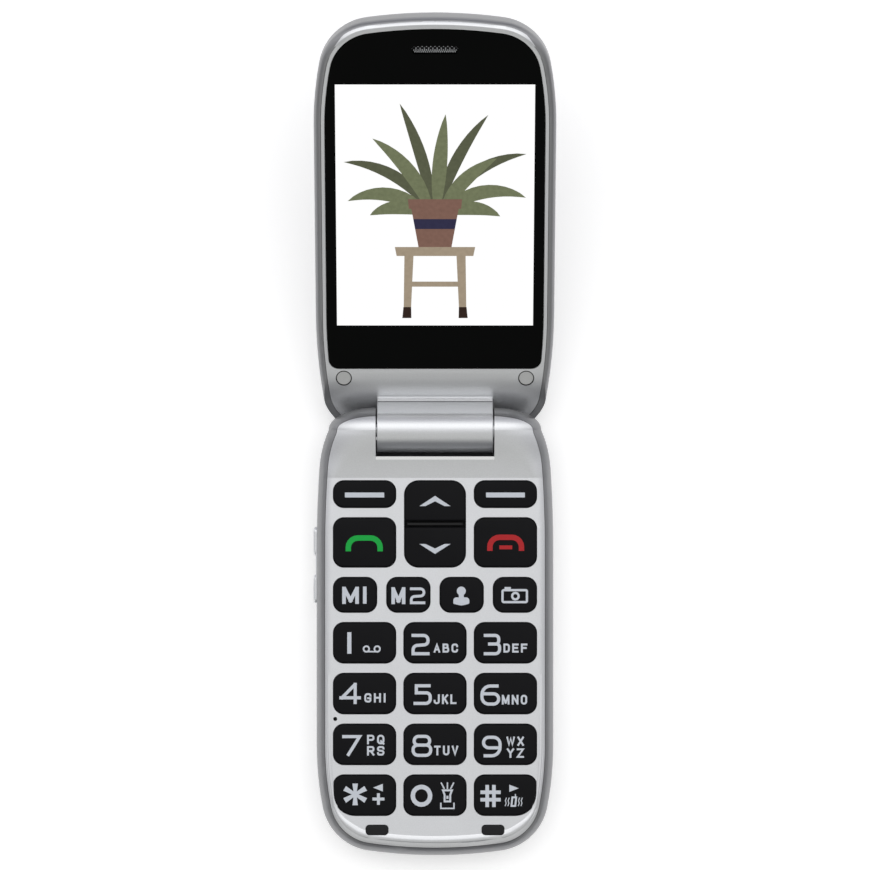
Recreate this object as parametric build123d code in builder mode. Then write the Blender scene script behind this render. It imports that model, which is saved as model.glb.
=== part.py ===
from build123d import *
from math import acos, asin, cos, radians, sin, sqrt
import os

# Clamshell phone lying open on its back. Millimetres, +Z up, +Y towards the hinge.
# The origin is the centre of the base's flat back; the lid stands open at its stop.

# ---- driving sizes of the two halves
display_width = 43.2       # lit area of a 2.8 inch panel
window_side = 2.3          # display to the window's side
window_rim = 2.4           # window to the outside of the lid
half_length = 94.5         # hinge axis to the far end, base and lid alike
keypad_height = 10.6       # flat of the key panel above the back
knuckle_radius = 5.0       # hinge knuckles of the base
axis_height = 8.3          # hinge axis above the back
open_angle = 157           # between the closed and the open stop
lid_gap = 0.5              # key panel to lid face when closed
lid_thickness = 8.3
top_round = 3.7            # rounding of the base's upper edge
back_round = 4.5           # rounding of both outer backs

# ---- plan curves: runs of tangent arcs, by the angles that they turn
straight_start = 26.0      # sides run straight from here, measured from the axis
corner_reach = 24.5        # and stop this far before the far end
corner_turns = (11, 71, 8)
corner_radius = 12.1       # middle arc of each far corner
base_shoulder_in = 2.7     # base's plan is narrower by this each side at the axis
base_shoulder_turns = (4, 20)
lid_shoulder_in = 12.0
lid_shoulder_past = 3.5    # lid's plan reaches past the axis
lid_shoulder_turns = (9, 70, 11)
lid_shoulder_radius = 11.3

# ---- walls, gaps and seams
panel_wall = 1.3           # key panel and lid face
side_wall = 1.3
band_width = 1.85          # strip of rear casing seen outside the front casing
seam = 0.10                # open joint line between two shells
key_gap = 0.15             # keycap to its opening
running_gap = 0.05         # hinge fits, on the radius
part_gap = 0.3             # between loose inner parts
seat_gap = 0.1             # between a part and the seat that it is stuck into
parting_height = 7.4       # front and rear casing meet here

# ---- knuckles and barrel
notch_width = 26.3         # cut-out of the base for the barrel
barrel_side_gap = 0.3
dome_inside = 0.15         # knuckles' round outer ends start this far inside the notch
barrel_radius = 4.95
notch_depth = 5.85         # cut-out's front wall from the axis
notch_round = 0.8          # rounding of that wall's upper edge
notch_wall = 1.0           # the wall is upright down to this far below the axis
notch_wall_end = 2.0       # its slope ends this far from the axis
notch_floor = 0.5          # cut-out's floor below the lid's wrap
barrel_bore = 3.2
pin_radius = 1.5
pin_grip = 5.8             # of the pin, and of the cam, held in a knuckle
cam_radius = 2.4
cam_grip = 4.8
cam_reach = 4.0            # of the cam inside the barrel
cartridge_start = 2.0
wrap_radius = 5.5          # lid's inner wrap round the knuckles
hump_length = 10.6         # slope from the knuckles down to the key panel
hollow_back = 0.8          # base's hollow reaches this far under the hump
wrap_reach = 2.35          # how far past the axis the lid wraps round the knuckles
heel_length = 14.0         # lid's back curves up over this length at the hinge
heel_rise = 3.75

# ---- keys
panel_side = 3.825         # outer keys to the side of the body
panel_start = 0.65         # first row to the foot of the hump
panel_end = 9.15           # last row to the far end
column_gap = 1.85
row_gap = 2.3
soft_height = 5.9
call_height = 10.9
menu_height = 7.7
menu_gap = 2.25
nav_narrower = 0.3         # the two-way block than the other keys
nav_bridge = 1.4           # between its two keys
nav_bar = 0.5              # rib of the mat that fills most of it
key_corner = 2.3
nav_corner = 3.1
nav_inner_corner = 0.6
star_corner = 4.8          # outer lower corner of the last row
key_proud = 0.35           # keycap above the panel
key_travel = 0.4
key_chamfer = 0.3
flange_width = 0.35        # lip that keeps a keycap in
flange_height = 0.7

# ---- lid window and display
lid_front_round = 1.6
lid_band = 1.5             # strip of rear cover seen round the bezel
lid_parting = 2.8          # parting line below the lid face
window_start = 13.6        # from the axis
window_thickness = 1.0
window_corner = 2.2
display_start = 23.85
display_end_room = 14.9    # lit area to the far end
display_border = 1.3
display_thickness = 1.8
bezel_thickness = 2.0
lid_room_start = 14.5

# ---- battery bay and board
battery_width = 35.0
battery_thickness = 4.4
battery_start = 33.5       # from the axis
battery_end_room = 12.0    # battery to the far end
battery_corner = 1.2
battery_room = 0.15        # above and below the battery
cover_thickness = 1.0
cover_margin = 2.2
cover_corner = 3.0
bay_wall = 1.0
low_inset = 2.6            # rear casing's wall
board_height = 6.3         # underside
board_thickness = 0.8
board_room = 0.1           # rear casing's hollow to the board
mat_thickness = 0.4
mat_end_room = 8.3         # mat and dome sheet to the far end
sheet_thickness = 0.15
dome_radius = 2.2
dome_height = 0.3

# ---- volume rocker
rocker_start = 21.5        # from the axis
rocker_end = 38.5
rocker_middle = 5.75       # height of its centre line
rocker_depth = 2.7
rocker_pad = 6.4
rocker_proud = 0.7
rocker_ridge = 0.2         # bar between the two pads, above the side
rocker_corner = 1.1
rocker_chamfer = 0.35
rocker_room = 0.2
rocker_pivot = 0.6
switch_pitch = 11.0
switch_width, switch_length = 2.0, 3.6
switch_tip_width, switch_tip_length = 0.4, 1.6
switch_drop = 0.8
switch_gap = 0.35          # from the rocker's back to the tips, for its tilt

# ---- small outer features
slot_width = 10.1          # earpiece slot
slot_height = 1.8
slot_end_room = 7.1        # slot to the far end
mesh_margin = 0.5
mesh_thickness = 0.45
disc_radius = 1.6          # screw covers beside the hinge
disc_side = 6.1            # to the side of the body
disc_row = 11.3
disc_depth = 0.65
disc_thickness = 0.55
bumper_side = 13.45
bumper_end_room = 5.9
bumper_width = 5.15
bumper_height = 2.4
bumper_corner = 0.9
bumper_proud = 0.4
bumper_depth = 0.5
bumper_chamfer = 0.2
mic_side = 4.2
mic_hole = 0.45
mic_radius = 1.1
mic_room_width, mic_room_length = 4.0, 3.2
camera_row = 24.0
camera_radius = 3.6
camera_depth = 0.8
camera_barrel = 2.8
camera_width = 8.4
torch_offset = 9.5
torch_radius = 1.2
torch_width = 3.4
socket_width = 7.6
socket_height = 2.6
socket_depth = 5.5
socket_corner = 0.6
socket_wall = 0.3
socket_room = 0.2
socket_tongue = 0.7
socket_inset = 1.0         # mouth behind the end of the casing

# ---- parts inside
boss_radius = 1.9          # screw bosses
near_boss_side, near_boss_row = 6.8, 7.5
far_boss_side, far_boss_end = 9.3, 6.2
screw_radius = 0.7
screw_play = 0.02
screw_seat = 2.3           # height of the screw heads' seats
head_radius = 1.4
head_height = 0.9
speaker_x, speaker_row = -9.0, 21.5
speaker_width, speaker_length, speaker_height = 16.0, 11.0, 3.2
speaker_cone, speaker_cone_height = 3.4, 0.4
shield_width, shield_length, shield_height = 18.0, 12.0, 1.3
sound_slot_width, sound_slot_height, sound_slot_pitch = 9.0, 0.9, 2.0
card_x, card_width, card_length = 10.0, 16.0, 13.0
card_wall, card_slot, card_roof = 1.0, 0.9, 0.3
contact_x, contact_width, contact_height = -8.0, 9.0, 2.1
contact_slot_width, contact_slot_pitch = 1.4, 3.0
antenna_gap, antenna_end_room = 1.1, 7.1     # to the boss beside it and to the far end
antenna_width, antenna_length, antenna_lift = 9.0, 5.0, 1.0
antenna_corner = 0.8
lid_board_width, lid_board_thickness, lid_board_gap = 40.0, 0.8, 0.1
earpiece_radius, earpiece_height = 3.9, 2.5
motor_side, motor_radius, motor_length, motor_to_slot = 7.3, 2.0, 8.0, 3.0
motor_weight_radius, motor_weight_length = 1.7, 2.4
motor_shaft_radius, motor_shaft_length = 0.5, 1.0
magnet_side, magnet_width, magnet_length, magnet_height = 13.3, 5.0, 3.0, 1.5
lid_screw_seat = 2.6

# ---- worked out
window_width = display_width + 2 * window_side
body_width = window_width + 2 * window_rim
half_width = body_width / 2
axis_y = (half_length - knuckle_radius) / 2
tilt = 180 - open_angle
crest = axis_height + knuckle_radius
rise = crest - keypad_height
straight_end = half_length - corner_reach
lid_face = axis_height - keypad_height - lid_gap
lid_back = lid_face - lid_thickness
barrel_width = notch_width - 2 * barrel_side_gap
dome_start = notch_width / 2 - dome_inside
dome_length = half_width - base_shoulder_in - dome_start
hinge_axis = Axis((0, axis_y, axis_height), (1, 0, 0))
side_plane = Plane(origin=(0, axis_y, axis_height), x_dir=(0, 1, 0), z_dir=(1, 0, 0))
lid_plane = Plane(
    origin=(0, axis_y, axis_height),
    x_dir=(1, 0, 0),
    z_dir=(0, -sin(radians(tilt)), cos(radians(tilt))),
)
lid_side_plane = Plane(
    origin=(0, axis_y, axis_height),
    x_dir=(0, cos(radians(tilt)), sin(radians(tilt))),
    z_dir=(1, 0, 0),
)
panel_under = keypad_height - panel_wall
flange_top = panel_under - running_gap
flange_under = flange_top - flange_height
mat_top = flange_under - key_travel - running_gap
board_top = board_height + board_thickness
hollow_top = board_height - board_room
hollow_start = hump_length - hollow_back
mat_end = half_length - mat_end_room

os.makedirs("parts", exist_ok=True)


def save(piece, name):
    """Label one finished piece and write it under its own name."""
    piece.part.label = name
    export_step(piece.part, f"parts/{name}.step")


def base_y(distance):
    """Y of a place on the base that lies this far from the hinge axis."""
    return axis_y - distance


# ---- plan curves
def arc_radii(across, along, turns, middle=None):
    """Radii of tangent arcs that turn by these angles and end this far across and along."""
    edges = [radians(sum(turns[:place])) for place in range(len(turns) + 1)]
    shares = [(cos(a) - cos(b), sin(b) - sin(a)) for a, b in zip(edges, edges[1:])]
    if middle:
        across -= middle * shares[1][0]
        along -= middle * shares[1][1]
    (c0, s0), (c1, s1) = shares[0], shares[-1]
    scale = c0 * s1 - c1 * s0
    first = (across * s1 - along * c1) / scale
    last = (c0 * along - s0 * across) / scale
    return (first, middle, last) if middle else (first, last)


def run_of_arcs(start, heading, radii, turns):
    """Draw tangent arcs one after another; a minus turn is clockwise. Returns the end."""
    x, y = start
    for radius, turn in zip(radii, turns):
        reach = radius if turn > 0 else -radius
        centre_x = x - reach * sin(radians(heading))
        centre_y = y + reach * cos(radians(heading))
        ahead = [radians(heading + part * turn) for part in (0.5, 1)]
        middle, end = [(centre_x + reach * sin(a), centre_y - reach * cos(a)) for a in ahead]
        ThreePointArc((x, y), middle, end)
        x, y = end
        heading += turn
    return x, y


corner_radii = arc_radii(half_width, corner_reach, corner_turns, corner_radius)
base_shoulder_radii = arc_radii(base_shoulder_in, straight_start, base_shoulder_turns)
lid_shoulder_radii = arc_radii(
    lid_shoulder_in, straight_start + lid_shoulder_past, lid_shoulder_turns, lid_shoulder_radius
)
base_side = (base_shoulder_radii, base_shoulder_turns)
lid_side = (lid_shoulder_radii, lid_shoulder_turns)


def body_outline(hinge_side, inset, domes=False):
    """Plan of one half from the axis, inset all round: shoulders, sides and the bowed end."""
    radii, turns = hinge_side
    side = half_width - inset
    with BuildSketch(mode=Mode.PRIVATE) as outline:
        with BuildLine():
            end = run_of_arcs((side, -straight_start), 90, [r - inset for r in radii], turns)
            if domes:
                Line(end, (dome_start + dome_length - inset, 0))
                EllipticalCenterArc(
                    (dome_start, 0), dome_length - inset, knuckle_radius - inset, 0, arc_size=90
                )
                end = (dome_start, knuckle_radius - inset)
            Line((side, -straight_start), (side, -straight_end))
            run_of_arcs((side, -straight_end), -90, [r - inset for r in corner_radii],
                        [-turn for turn in corner_turns])
            mirror(about=Plane.YZ)
            Line((-end[0], end[1]), end)
        make_face()
    return outline.sketch


def side_at(distance):
    """Half width of the base's plan at this distance from the axis, on the shoulder's arcs."""
    (long_radius, short_radius), (long_turn, _) = base_side
    past_straight = straight_start - distance
    long_reach = long_radius * sin(radians(long_turn))
    if past_straight <= long_reach:
        return half_width - long_radius + sqrt(long_radius**2 - past_straight**2)
    at = asin(sin(radians(long_turn)) + (past_straight - long_reach) / short_radius)
    lost = long_radius * (1 - cos(radians(long_turn)))
    return half_width - lost - short_radius * (cos(radians(long_turn)) - cos(at))


# ---- keys, laid out in rows between the hump and the far end
key_width = (body_width - 2 * panel_side - 2 * column_gap) / 3
column_pitch = key_width + column_gap
menu_width = (body_width - 2 * panel_side - 3 * menu_gap) / 4
first_row = hump_length + panel_start
digits_start = first_row + soft_height + call_height + menu_height + 3 * row_gap
digit_height = (half_length - panel_end - digits_start - 3 * row_gap) / 4
soft_row = first_row + soft_height / 2
call_row = first_row + soft_height + row_gap + call_height / 2
menu_row = digits_start - row_gap - menu_height / 2
nav_height = soft_height + row_gap + call_height
nav_row = first_row + nav_height / 2
nav_width = key_width - nav_narrower
row_pitch = digit_height + row_gap
digit_row = digits_start + digit_height / 2


def key_list():
    """Every key as name: (x, distance from axis, width, height, corner radii)."""
    found = {}
    even = (key_corner,) * 4
    half_nav = (nav_height - nav_bridge) / 2
    nav_shift = (nav_height - half_nav) / 2
    nav_top = (nav_corner, nav_corner, nav_inner_corner, nav_inner_corner)
    found["soft_key_left"] = (-column_pitch, soft_row, key_width, soft_height, even)
    found["soft_key_right"] = (column_pitch, soft_row, key_width, soft_height, even)
    found["nav_key_up"] = (0, nav_row - nav_shift, nav_width, half_nav, nav_top)
    found["nav_key_down"] = (0, nav_row + nav_shift, nav_width, half_nav, nav_top[::-1])
    found["call_key"] = (-column_pitch, call_row, key_width, call_height, even)
    found["end_key"] = (column_pitch, call_row, key_width, call_height, even)
    menu = ("memory_key_1", "memory_key_2", "contacts_key", "camera_key")
    for place, name in enumerate(menu):
        across = (place - 1.5) * (menu_width + menu_gap)
        found[name] = (across, menu_row, menu_width, menu_height, even)
    outer_corner = min(star_corner, digit_height - key_corner - key_chamfer)
    digits = ("1", "2", "3", "4", "5", "6", "7", "8", "9", "star", "0", "hash")
    for place, digit in enumerate(digits):
        corners = list(even)
        if digit == "star":
            corners[3] = outer_corner
        if digit == "hash":
            corners[2] = outer_corner
        across = (place % 3 - 1) * column_pitch
        row = digit_row + (place // 3) * row_pitch
        found["key_" + digit] = (across, row, key_width, digit_height, tuple(corners))
    return found


keys = key_list()
nav_block = (0, nav_row, nav_width, nav_height, (nav_corner,) * 4)
openings = [key for name, key in keys.items() if not name.startswith("nav")] + [nav_block]


def key_outline(key, grow):
    """Keycap outline, grown by a gap; corners run clockwise from the upper left."""
    across, distance, width, height, corners = key
    centre_y = base_y(distance)
    signs = ((-1, 1), (1, 1), (1, -1), (-1, -1))
    with BuildSketch(mode=Mode.PRIVATE) as outline:
        with Locations((across, centre_y)):
            Rectangle(width + 2 * grow, height + 2 * grow)
        for (sign_x, sign_y), radius in zip(signs, corners):
            x = across + sign_x * (width / 2 + grow)
            y = centre_y + sign_y * (height / 2 + grow)
            fillet(outline.vertices().sort_by_distance((x, y))[0], radius + grow)
    return outline.sketch


# ---- outer form of the base: slab, domed knuckles and the hump that joins them
# Each section of the hump, in shares: distance (of its length), rise lost, how far the flat top
# widens (of its length), start of the upper rounding above the axis (of the knuckle's radius),
# underside (of the knuckle's), how far the flat underside widens, end of the lower rounding.
side_flat = 0.03 * knuckle_radius
knuckle_under = axis_height - knuckle_radius
hump_sections = (
    (0, 0, 0, 0.03, 1, 0, -0.03),
    (0.236, 0.185, 0.142, -0.02, 0.955, 0.113, -0.16),
    (0.396, 0.407, 0.311, -0.08, 0.727, 0.283, -0.32),
    (0.557, 0.63, 0.509, -0.15, 0.439, 0.472, -0.48),
    (0.755, 0.833, 0.717, -0.22, 0.152, 0.66, -0.64),
)


def hump_section(distance, lost, widen, spring, under, low_widen, low_spring):
    """Right half of one cross-section, rounded above and below like the knuckles' ends."""
    top = crest - lost * rise
    wide = side_at(distance * hump_length)
    flat = dome_start + widen * hump_length
    low_flat = dome_start + low_widen * hump_length
    spring = axis_height + spring * knuckle_radius
    low_spring = axis_height + low_spring * knuckle_radius
    under = under * knuckle_under
    plane = Plane((0, base_y(distance * hump_length), 0), x_dir=(1, 0, 0), z_dir=(0, -1, 0))
    with BuildSketch(plane) as section:
        with BuildLine():
            Line((0, top), (flat, top))
            EllipticalCenterArc((flat, spring), wide - flat, top - spring, 0, arc_size=90)
            Line((wide, spring), (wide, low_spring))
            EllipticalCenterArc(
                (low_flat, low_spring), wide - low_flat, low_spring - under, 270, arc_size=90
            )
            Polyline((low_flat, under), (0, under), (0, top))
        make_face()
    return section.sketch


with BuildPart() as base_form:
    with BuildSketch(Plane((0, axis_y, 0))):
        add(body_outline(base_side, 0))
        Rectangle(body_width, 2 * hump_length, mode=Mode.SUBTRACT)
    extrude(amount=keypad_height)
    hinge_face = base_form.faces().sort_by(Axis.Y)[-1]
    fillet(base_form.faces().sort_by(Axis.Z)[-1].edges() - hinge_face.edges(), top_round)
    fillet(base_form.faces().sort_by(Axis.Z)[0].edges() - hinge_face.edges(), back_round)
    with BuildPart(mode=Mode.PRIVATE) as hinge_end:
        # the hump's last section is the slab's own end, so that the two meet exactly
        slab_end = base_form.faces().sort_by(Axis.Y)[-1].split(Plane.YZ, keep=Keep.TOP)
        loft([hump_section(*section) for section in hump_sections] + [slab_end])
        # beyond the axis each knuckle is turned from its own half section
        with BuildSketch(Plane(origin=(0, axis_y, 0), x_dir=(1, 0, 0), z_dir=(0, -1, 0))):
            with BuildLine():
                wide = dome_start + dome_length
                spring = axis_height + side_flat
                Line((0, crest), (dome_start, crest))
                EllipticalCenterArc((dome_start, spring), dome_length, crest - spring, 0, arc_size=90)
                Polyline((wide, spring), (wide, axis_height), (0, axis_height), (0, crest))
            make_face()
        revolve(axis=hinge_axis, revolution_arc=-180)
        mirror(about=Plane.YZ)
    add(hinge_end.part)

# ---- space swept by the barrel between the knuckles
with BuildPart() as barrel_space:
    with BuildSketch(side_plane):
        with BuildLine():
            Polyline(
                (2 * knuckle_radius, crest),
                (-notch_depth, crest),
                (-notch_depth, -notch_wall),
                (-0.8 * wrap_radius, -0.62 * wrap_radius),
                (-notch_wall_end, part_gap - wrap_radius),
                (0, -wrap_radius - notch_floor),
                (2 * knuckle_radius, -wrap_radius - notch_floor),
                close=True,
            )
        make_face()
    extrude(amount=notch_width / 2, both=True)


def casing_prism(inset, low, high):
    """Upright prism of the base's plan, inset all round, knuckle ends included."""
    with BuildPart(mode=Mode.PRIVATE) as prism:
        with BuildSketch(Plane((0, axis_y, low))):
            add(body_outline(base_side, inset, domes=True))
        extrude(amount=high - low)
    return prism.part


def inner_outline(inset, hinge_end, far_end=half_length):
    """Plan of a hollow or board: the base's plan inset, cut square at both ends."""
    with BuildSketch(mode=Mode.PRIVATE) as outline:
        add(body_outline(base_side, inset))
        with Locations((0, -(hinge_end + far_end) / 2)):
            Rectangle(body_width, far_end - hinge_end, mode=Mode.INTERSECT)
    return outline.sketch


hollow_outline = inner_outline(band_width + side_wall, hollow_start)
near_bosses = [(side * (half_width - near_boss_side), base_y(near_boss_row)) for side in (-1, 1)]
far_bosses = [
    (side * (half_width - far_boss_side), base_y(half_length - far_boss_end)) for side in (-1, 1)
]
bumper_places = [
    (side * (half_width - bumper_side), base_y(half_length - bumper_end_room)) for side in (-1, 1)
]
antenna_x = far_bosses[0][0] + boss_radius + antenna_gap + antenna_width / 2
mic_x = mic_side - half_width
mic_row = digit_row + 1.5 * row_pitch

# ---- front casing: silver key panel, hump and upper knuckles
with BuildPart() as front_casing:
    add(base_form.part)
    add(casing_prism(band_width + seam, parting_height, crest + 1), mode=Mode.INTERSECT)
    add(barrel_space.part, mode=Mode.SUBTRACT)
    wall_top = (
        front_casing.edges()
        .filter_by(Axis.X)
        .filter_by(lambda edge: abs(edge.center().Y - base_y(notch_depth)) < 0.01)
        .sort_by(Axis.Z)[-1]
    )
    fillet(wall_top, notch_round)
    # hollow under the key panel
    with BuildSketch(Plane((0, axis_y, parting_height - 1))):
        add(hollow_outline)
    extrude(amount=panel_under - parting_height + 1, mode=Mode.SUBTRACT)
    with BuildSketch(Plane.XY.offset(parting_height)):
        with Locations(*far_bosses):
            Circle(boss_radius)
    extrude(amount=panel_under - parting_height)
    with BuildSketch(Plane.XY.offset(parting_height)):
        for key in openings:
            add(key_outline(key, key_gap))
        with Locations((mic_x, base_y(mic_row))):
            Circle(mic_hole)
    extrude(amount=crest, mode=Mode.SUBTRACT)
    with BuildSketch(Plane.XY.offset(keypad_height - bumper_depth)):
        with Locations(*bumper_places):
            RectangleRounded(bumper_width, bumper_height, bumper_corner)
    extrude(amount=1, mode=Mode.SUBTRACT)
    # knuckle bores for the pin on the left and the cam on the right
    with BuildSketch(side_plane.offset(-notch_width / 2)):
        Circle(pin_radius)
    extrude(amount=-pin_grip - seat_gap, mode=Mode.SUBTRACT)
    with BuildSketch(side_plane.offset(notch_width / 2)):
        Circle(cam_radius)
    extrude(amount=cam_grip + seat_gap, mode=Mode.SUBTRACT)
save(front_casing, "front_casing")

# ---- rear casing: grey shell with the battery bay
battery_length = half_length - battery_start - battery_end_room
bay_width = battery_width + 2 * part_gap
bay_length = battery_length + 2 * part_gap
bay_top = cover_thickness + battery_thickness + 2 * battery_room
bay_row = battery_start + battery_length / 2
bay_y = base_y(bay_row)
wall_y = bay_y + bay_length / 2 + bay_wall / 2
rocker_y = base_y((rocker_start + rocker_end) / 2)
rocker_length = rocker_end - rocker_start
rocker_foot = low_inset + rocker_room     # depth of the rocker's opening
rocker_back = rocker_foot - seat_gap - half_width

with BuildPart() as rear_casing:
    add(base_form.part)
    add(casing_prism(band_width, parting_height, crest + 1), mode=Mode.SUBTRACT)
    add(barrel_space.part, mode=Mode.SUBTRACT)
    with BuildSketch(Plane((0, axis_y, hollow_top))):
        add(inner_outline(low_inset, hollow_start))
    extrude(amount=parting_height - hollow_top, mode=Mode.SUBTRACT)
    # room beside the battery bay, with the screw bosses left standing
    with BuildSketch(Plane((0, axis_y, panel_wall))):
        add(inner_outline(low_inset, hump_length + back_round - panel_wall))
        with Locations((0, -bay_row)):
            Rectangle(bay_width + 2 * bay_wall, bay_length + 2 * bay_wall, mode=Mode.SUBTRACT)
        with Locations(*[(x, y - axis_y) for x, y in far_bosses]):
            Circle(boss_radius, mode=Mode.SUBTRACT)
    extrude(amount=hollow_top - panel_wall, mode=Mode.SUBTRACT)
    # battery bay and the seat of its cover
    with BuildSketch():
        with Locations((0, bay_y)):
            Rectangle(bay_width, bay_length)
    extrude(amount=bay_top, mode=Mode.SUBTRACT)
    with BuildSketch():
        with Locations((0, bay_y)):
            RectangleRounded(bay_width + 2 * cover_margin, bay_length + 2 * cover_margin, cover_corner)
    extrude(amount=cover_thickness, mode=Mode.SUBTRACT)
    # openings in the bay wall for the battery contacts and the card
    with BuildSketch(Plane.XY.offset(contact_height - seat_gap)):
        with Locations((contact_x, wall_y)):
            Rectangle(contact_width + 2 * seat_gap, bay_wall + 2 * seat_gap)
    extrude(amount=board_height, mode=Mode.SUBTRACT)
    with BuildSketch(Plane.XY.offset(bay_top - card_slot)):
        with Locations((card_x, wall_y)):
            Rectangle(card_width - 2 * card_wall, bay_wall + 2 * seat_gap)
    extrude(amount=card_slot, mode=Mode.SUBTRACT)
    # loudspeaker slots, screw holes, charging socket and rocker openings
    with BuildSketch():
        with Locations((speaker_x, base_y(speaker_row))):
            with GridLocations(0, sound_slot_pitch, 1, 4):
                SlotOverall(sound_slot_width, sound_slot_height)
    extrude(amount=panel_wall, mode=Mode.SUBTRACT)
    with BuildSketch():
        with Locations(*near_bosses, *far_bosses):
            Circle(screw_radius)
    extrude(amount=parting_height, mode=Mode.SUBTRACT)
    with BuildSketch():
        with Locations(*near_bosses, *far_bosses):
            Circle(head_radius + seat_gap)
    extrude(amount=screw_seat, mode=Mode.SUBTRACT)
    socket_mouth = Plane(
        (0, base_y(half_length + socket_inset), hollow_top - socket_height / 2),
        x_dir=(1, 0, 0),
        z_dir=(0, 1, 0),
    )
    with BuildSketch(socket_mouth):
        RectangleRounded(socket_width + socket_room, socket_height + socket_room, socket_corner)
    extrude(amount=socket_inset + low_inset + seat_gap, mode=Mode.SUBTRACT)
    rocker_mouth = Plane(
        (-half_width - rocker_proud, rocker_y, rocker_middle), x_dir=(0, 1, 0), z_dir=(1, 0, 0)
    )
    with BuildSketch(rocker_mouth):
        RectangleRounded(rocker_length + 2 * rocker_room, rocker_depth + rocker_room, rocker_corner)
    extrude(amount=rocker_proud + rocker_foot, mode=Mode.SUBTRACT)
    with BuildSketch(side_plane.offset(-notch_width / 2)):
        Circle(pin_radius)
    extrude(amount=-pin_grip - seat_gap, mode=Mode.SUBTRACT)
    with BuildSketch(side_plane.offset(notch_width / 2)):
        Circle(cam_radius)
    extrude(amount=cam_grip + seat_gap, mode=Mode.SUBTRACT)
save(rear_casing, "rear_casing")

# ---- battery cover: flush plate with a thumbnail recess
with BuildPart() as battery_cover:
    with BuildSketch():
        with Locations((0, bay_y)):
            RectangleRounded(
                bay_width + 2 * (cover_margin - seat_gap),
                bay_length + 2 * (cover_margin - seat_gap),
                cover_corner - seat_gap,
            )
    extrude(amount=cover_thickness - running_gap)
    with BuildSketch():
        with Locations((0, bay_y + bay_length / 2 - cover_margin)):
            SlotOverall(battery_width / 3, cover_margin)
    extrude(amount=cover_thickness / 2, mode=Mode.SUBTRACT)
save(battery_cover, "battery_cover")

# ---- inside the base
with BuildPart() as battery:
    with BuildSketch(Plane.XY.offset(cover_thickness + battery_room)):
        with Locations((0, bay_y)):
            RectangleRounded(battery_width, battery_length, battery_corner)
    extrude(amount=battery_thickness)
save(battery, "battery")

with BuildPart() as battery_contacts:
    with BuildSketch(Plane.XY.offset(contact_height)):
        with Locations((contact_x, wall_y + bay_wall / 2)):
            Rectangle(contact_width, 2 * bay_wall)
        with Locations((contact_x, wall_y - bay_wall / 2 + 2 * seat_gap)):
            with GridLocations(contact_slot_pitch, 0, 2, 1):
                Rectangle(contact_slot_width, bay_wall + 2 * seat_gap, mode=Mode.SUBTRACT)
    extrude(amount=board_height - contact_height)
save(battery_contacts, "battery_contacts")

with BuildPart() as main_board:
    with BuildSketch(Plane((0, axis_y, board_height))):
        add(inner_outline(band_width + side_wall + 2 * seat_gap, hollow_start + part_gap))
        with Locations(*[(x, y - axis_y) for x, y in far_bosses]):
            Circle(boss_radius + part_gap, mode=Mode.SUBTRACT)
    extrude(amount=board_thickness)
save(main_board, "main_board")

with BuildPart() as shield_can:
    with BuildSketch(Plane.XY.offset(board_height - shield_height)):
        with Locations((speaker_x, base_y(speaker_row))):
            Rectangle(shield_width, shield_length)
    extrude(amount=shield_height)
    chamfer(shield_can.faces().sort_by(Axis.Z)[0].edges(), part_gap)
save(shield_can, "shield_can")

with BuildPart() as loudspeaker:
    with BuildSketch(Plane.XY.offset(panel_wall)):
        with Locations((speaker_x, base_y(speaker_row))):
            Rectangle(speaker_width, speaker_length)
    extrude(amount=speaker_height)
    chamfer(loudspeaker.edges().filter_by(Axis.Z), 2 * part_gap)
    with BuildSketch(Plane.XY.offset(panel_wall + speaker_height)):
        with Locations((speaker_x, base_y(speaker_row))):
            Circle(speaker_cone)
    extrude(amount=speaker_cone_height)
save(loudspeaker, "loudspeaker")

card_y = wall_y + bay_wall / 2 + battery_room + card_length / 2
with BuildPart() as card_holder:
    with BuildSketch(Plane.XY.offset(bay_top - card_slot - card_roof)):
        with Locations((card_x, card_y)):
            Rectangle(card_width, card_length)
    extrude(amount=board_height - bay_top + card_slot + card_roof)
    with BuildSketch(Plane.XY.offset(bay_top - card_slot)):
        with Locations((card_x, card_y - card_wall)):
            Rectangle(card_width - 2 * card_wall, card_length)
    extrude(amount=card_slot, mode=Mode.SUBTRACT)
save(card_holder, "card_holder")

with BuildPart() as antenna:
    with BuildSketch(Plane.XY.offset(panel_wall + antenna_lift)):
        with Locations((antenna_x, base_y(half_length - antenna_end_room))):
            Rectangle(antenna_width, antenna_length)
    extrude(amount=board_height - panel_wall - antenna_lift)
    chamfer(antenna.edges().filter_by(Axis.Z), antenna_corner)
save(antenna, "antenna")

with BuildPart() as charging_socket:
    face_plane = Plane(
        (0, base_y(half_length - socket_inset), hollow_top - socket_height / 2),
        x_dir=(1, 0, 0),
        z_dir=(0, 1, 0),
    )
    with BuildSketch(face_plane):
        RectangleRounded(socket_width, socket_height, socket_corner)
        socket_room_width = socket_width - 2 * socket_wall - socket_corner
        Rectangle(socket_room_width, socket_height - 2 * socket_wall, mode=Mode.SUBTRACT)
    extrude(amount=socket_depth)
    with BuildSketch(face_plane.offset(socket_inset)):
        Rectangle(socket_width - 4 * socket_corner, socket_tongue)
    extrude(amount=socket_depth - socket_inset)
    with BuildSketch(face_plane.offset(socket_depth - socket_wall)):
        Rectangle(socket_width - 2 * socket_corner, socket_height - socket_wall)
    extrude(amount=socket_wall)
save(charging_socket, "charging_socket")

with BuildPart() as microphone:
    with BuildSketch(Plane.XY.offset(board_top)):
        with Locations((mic_x + 2 * seat_gap, base_y(mic_row))):
            Circle(mic_radius)
    extrude(amount=mat_top - board_top)
save(microphone, "microphone")

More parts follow.
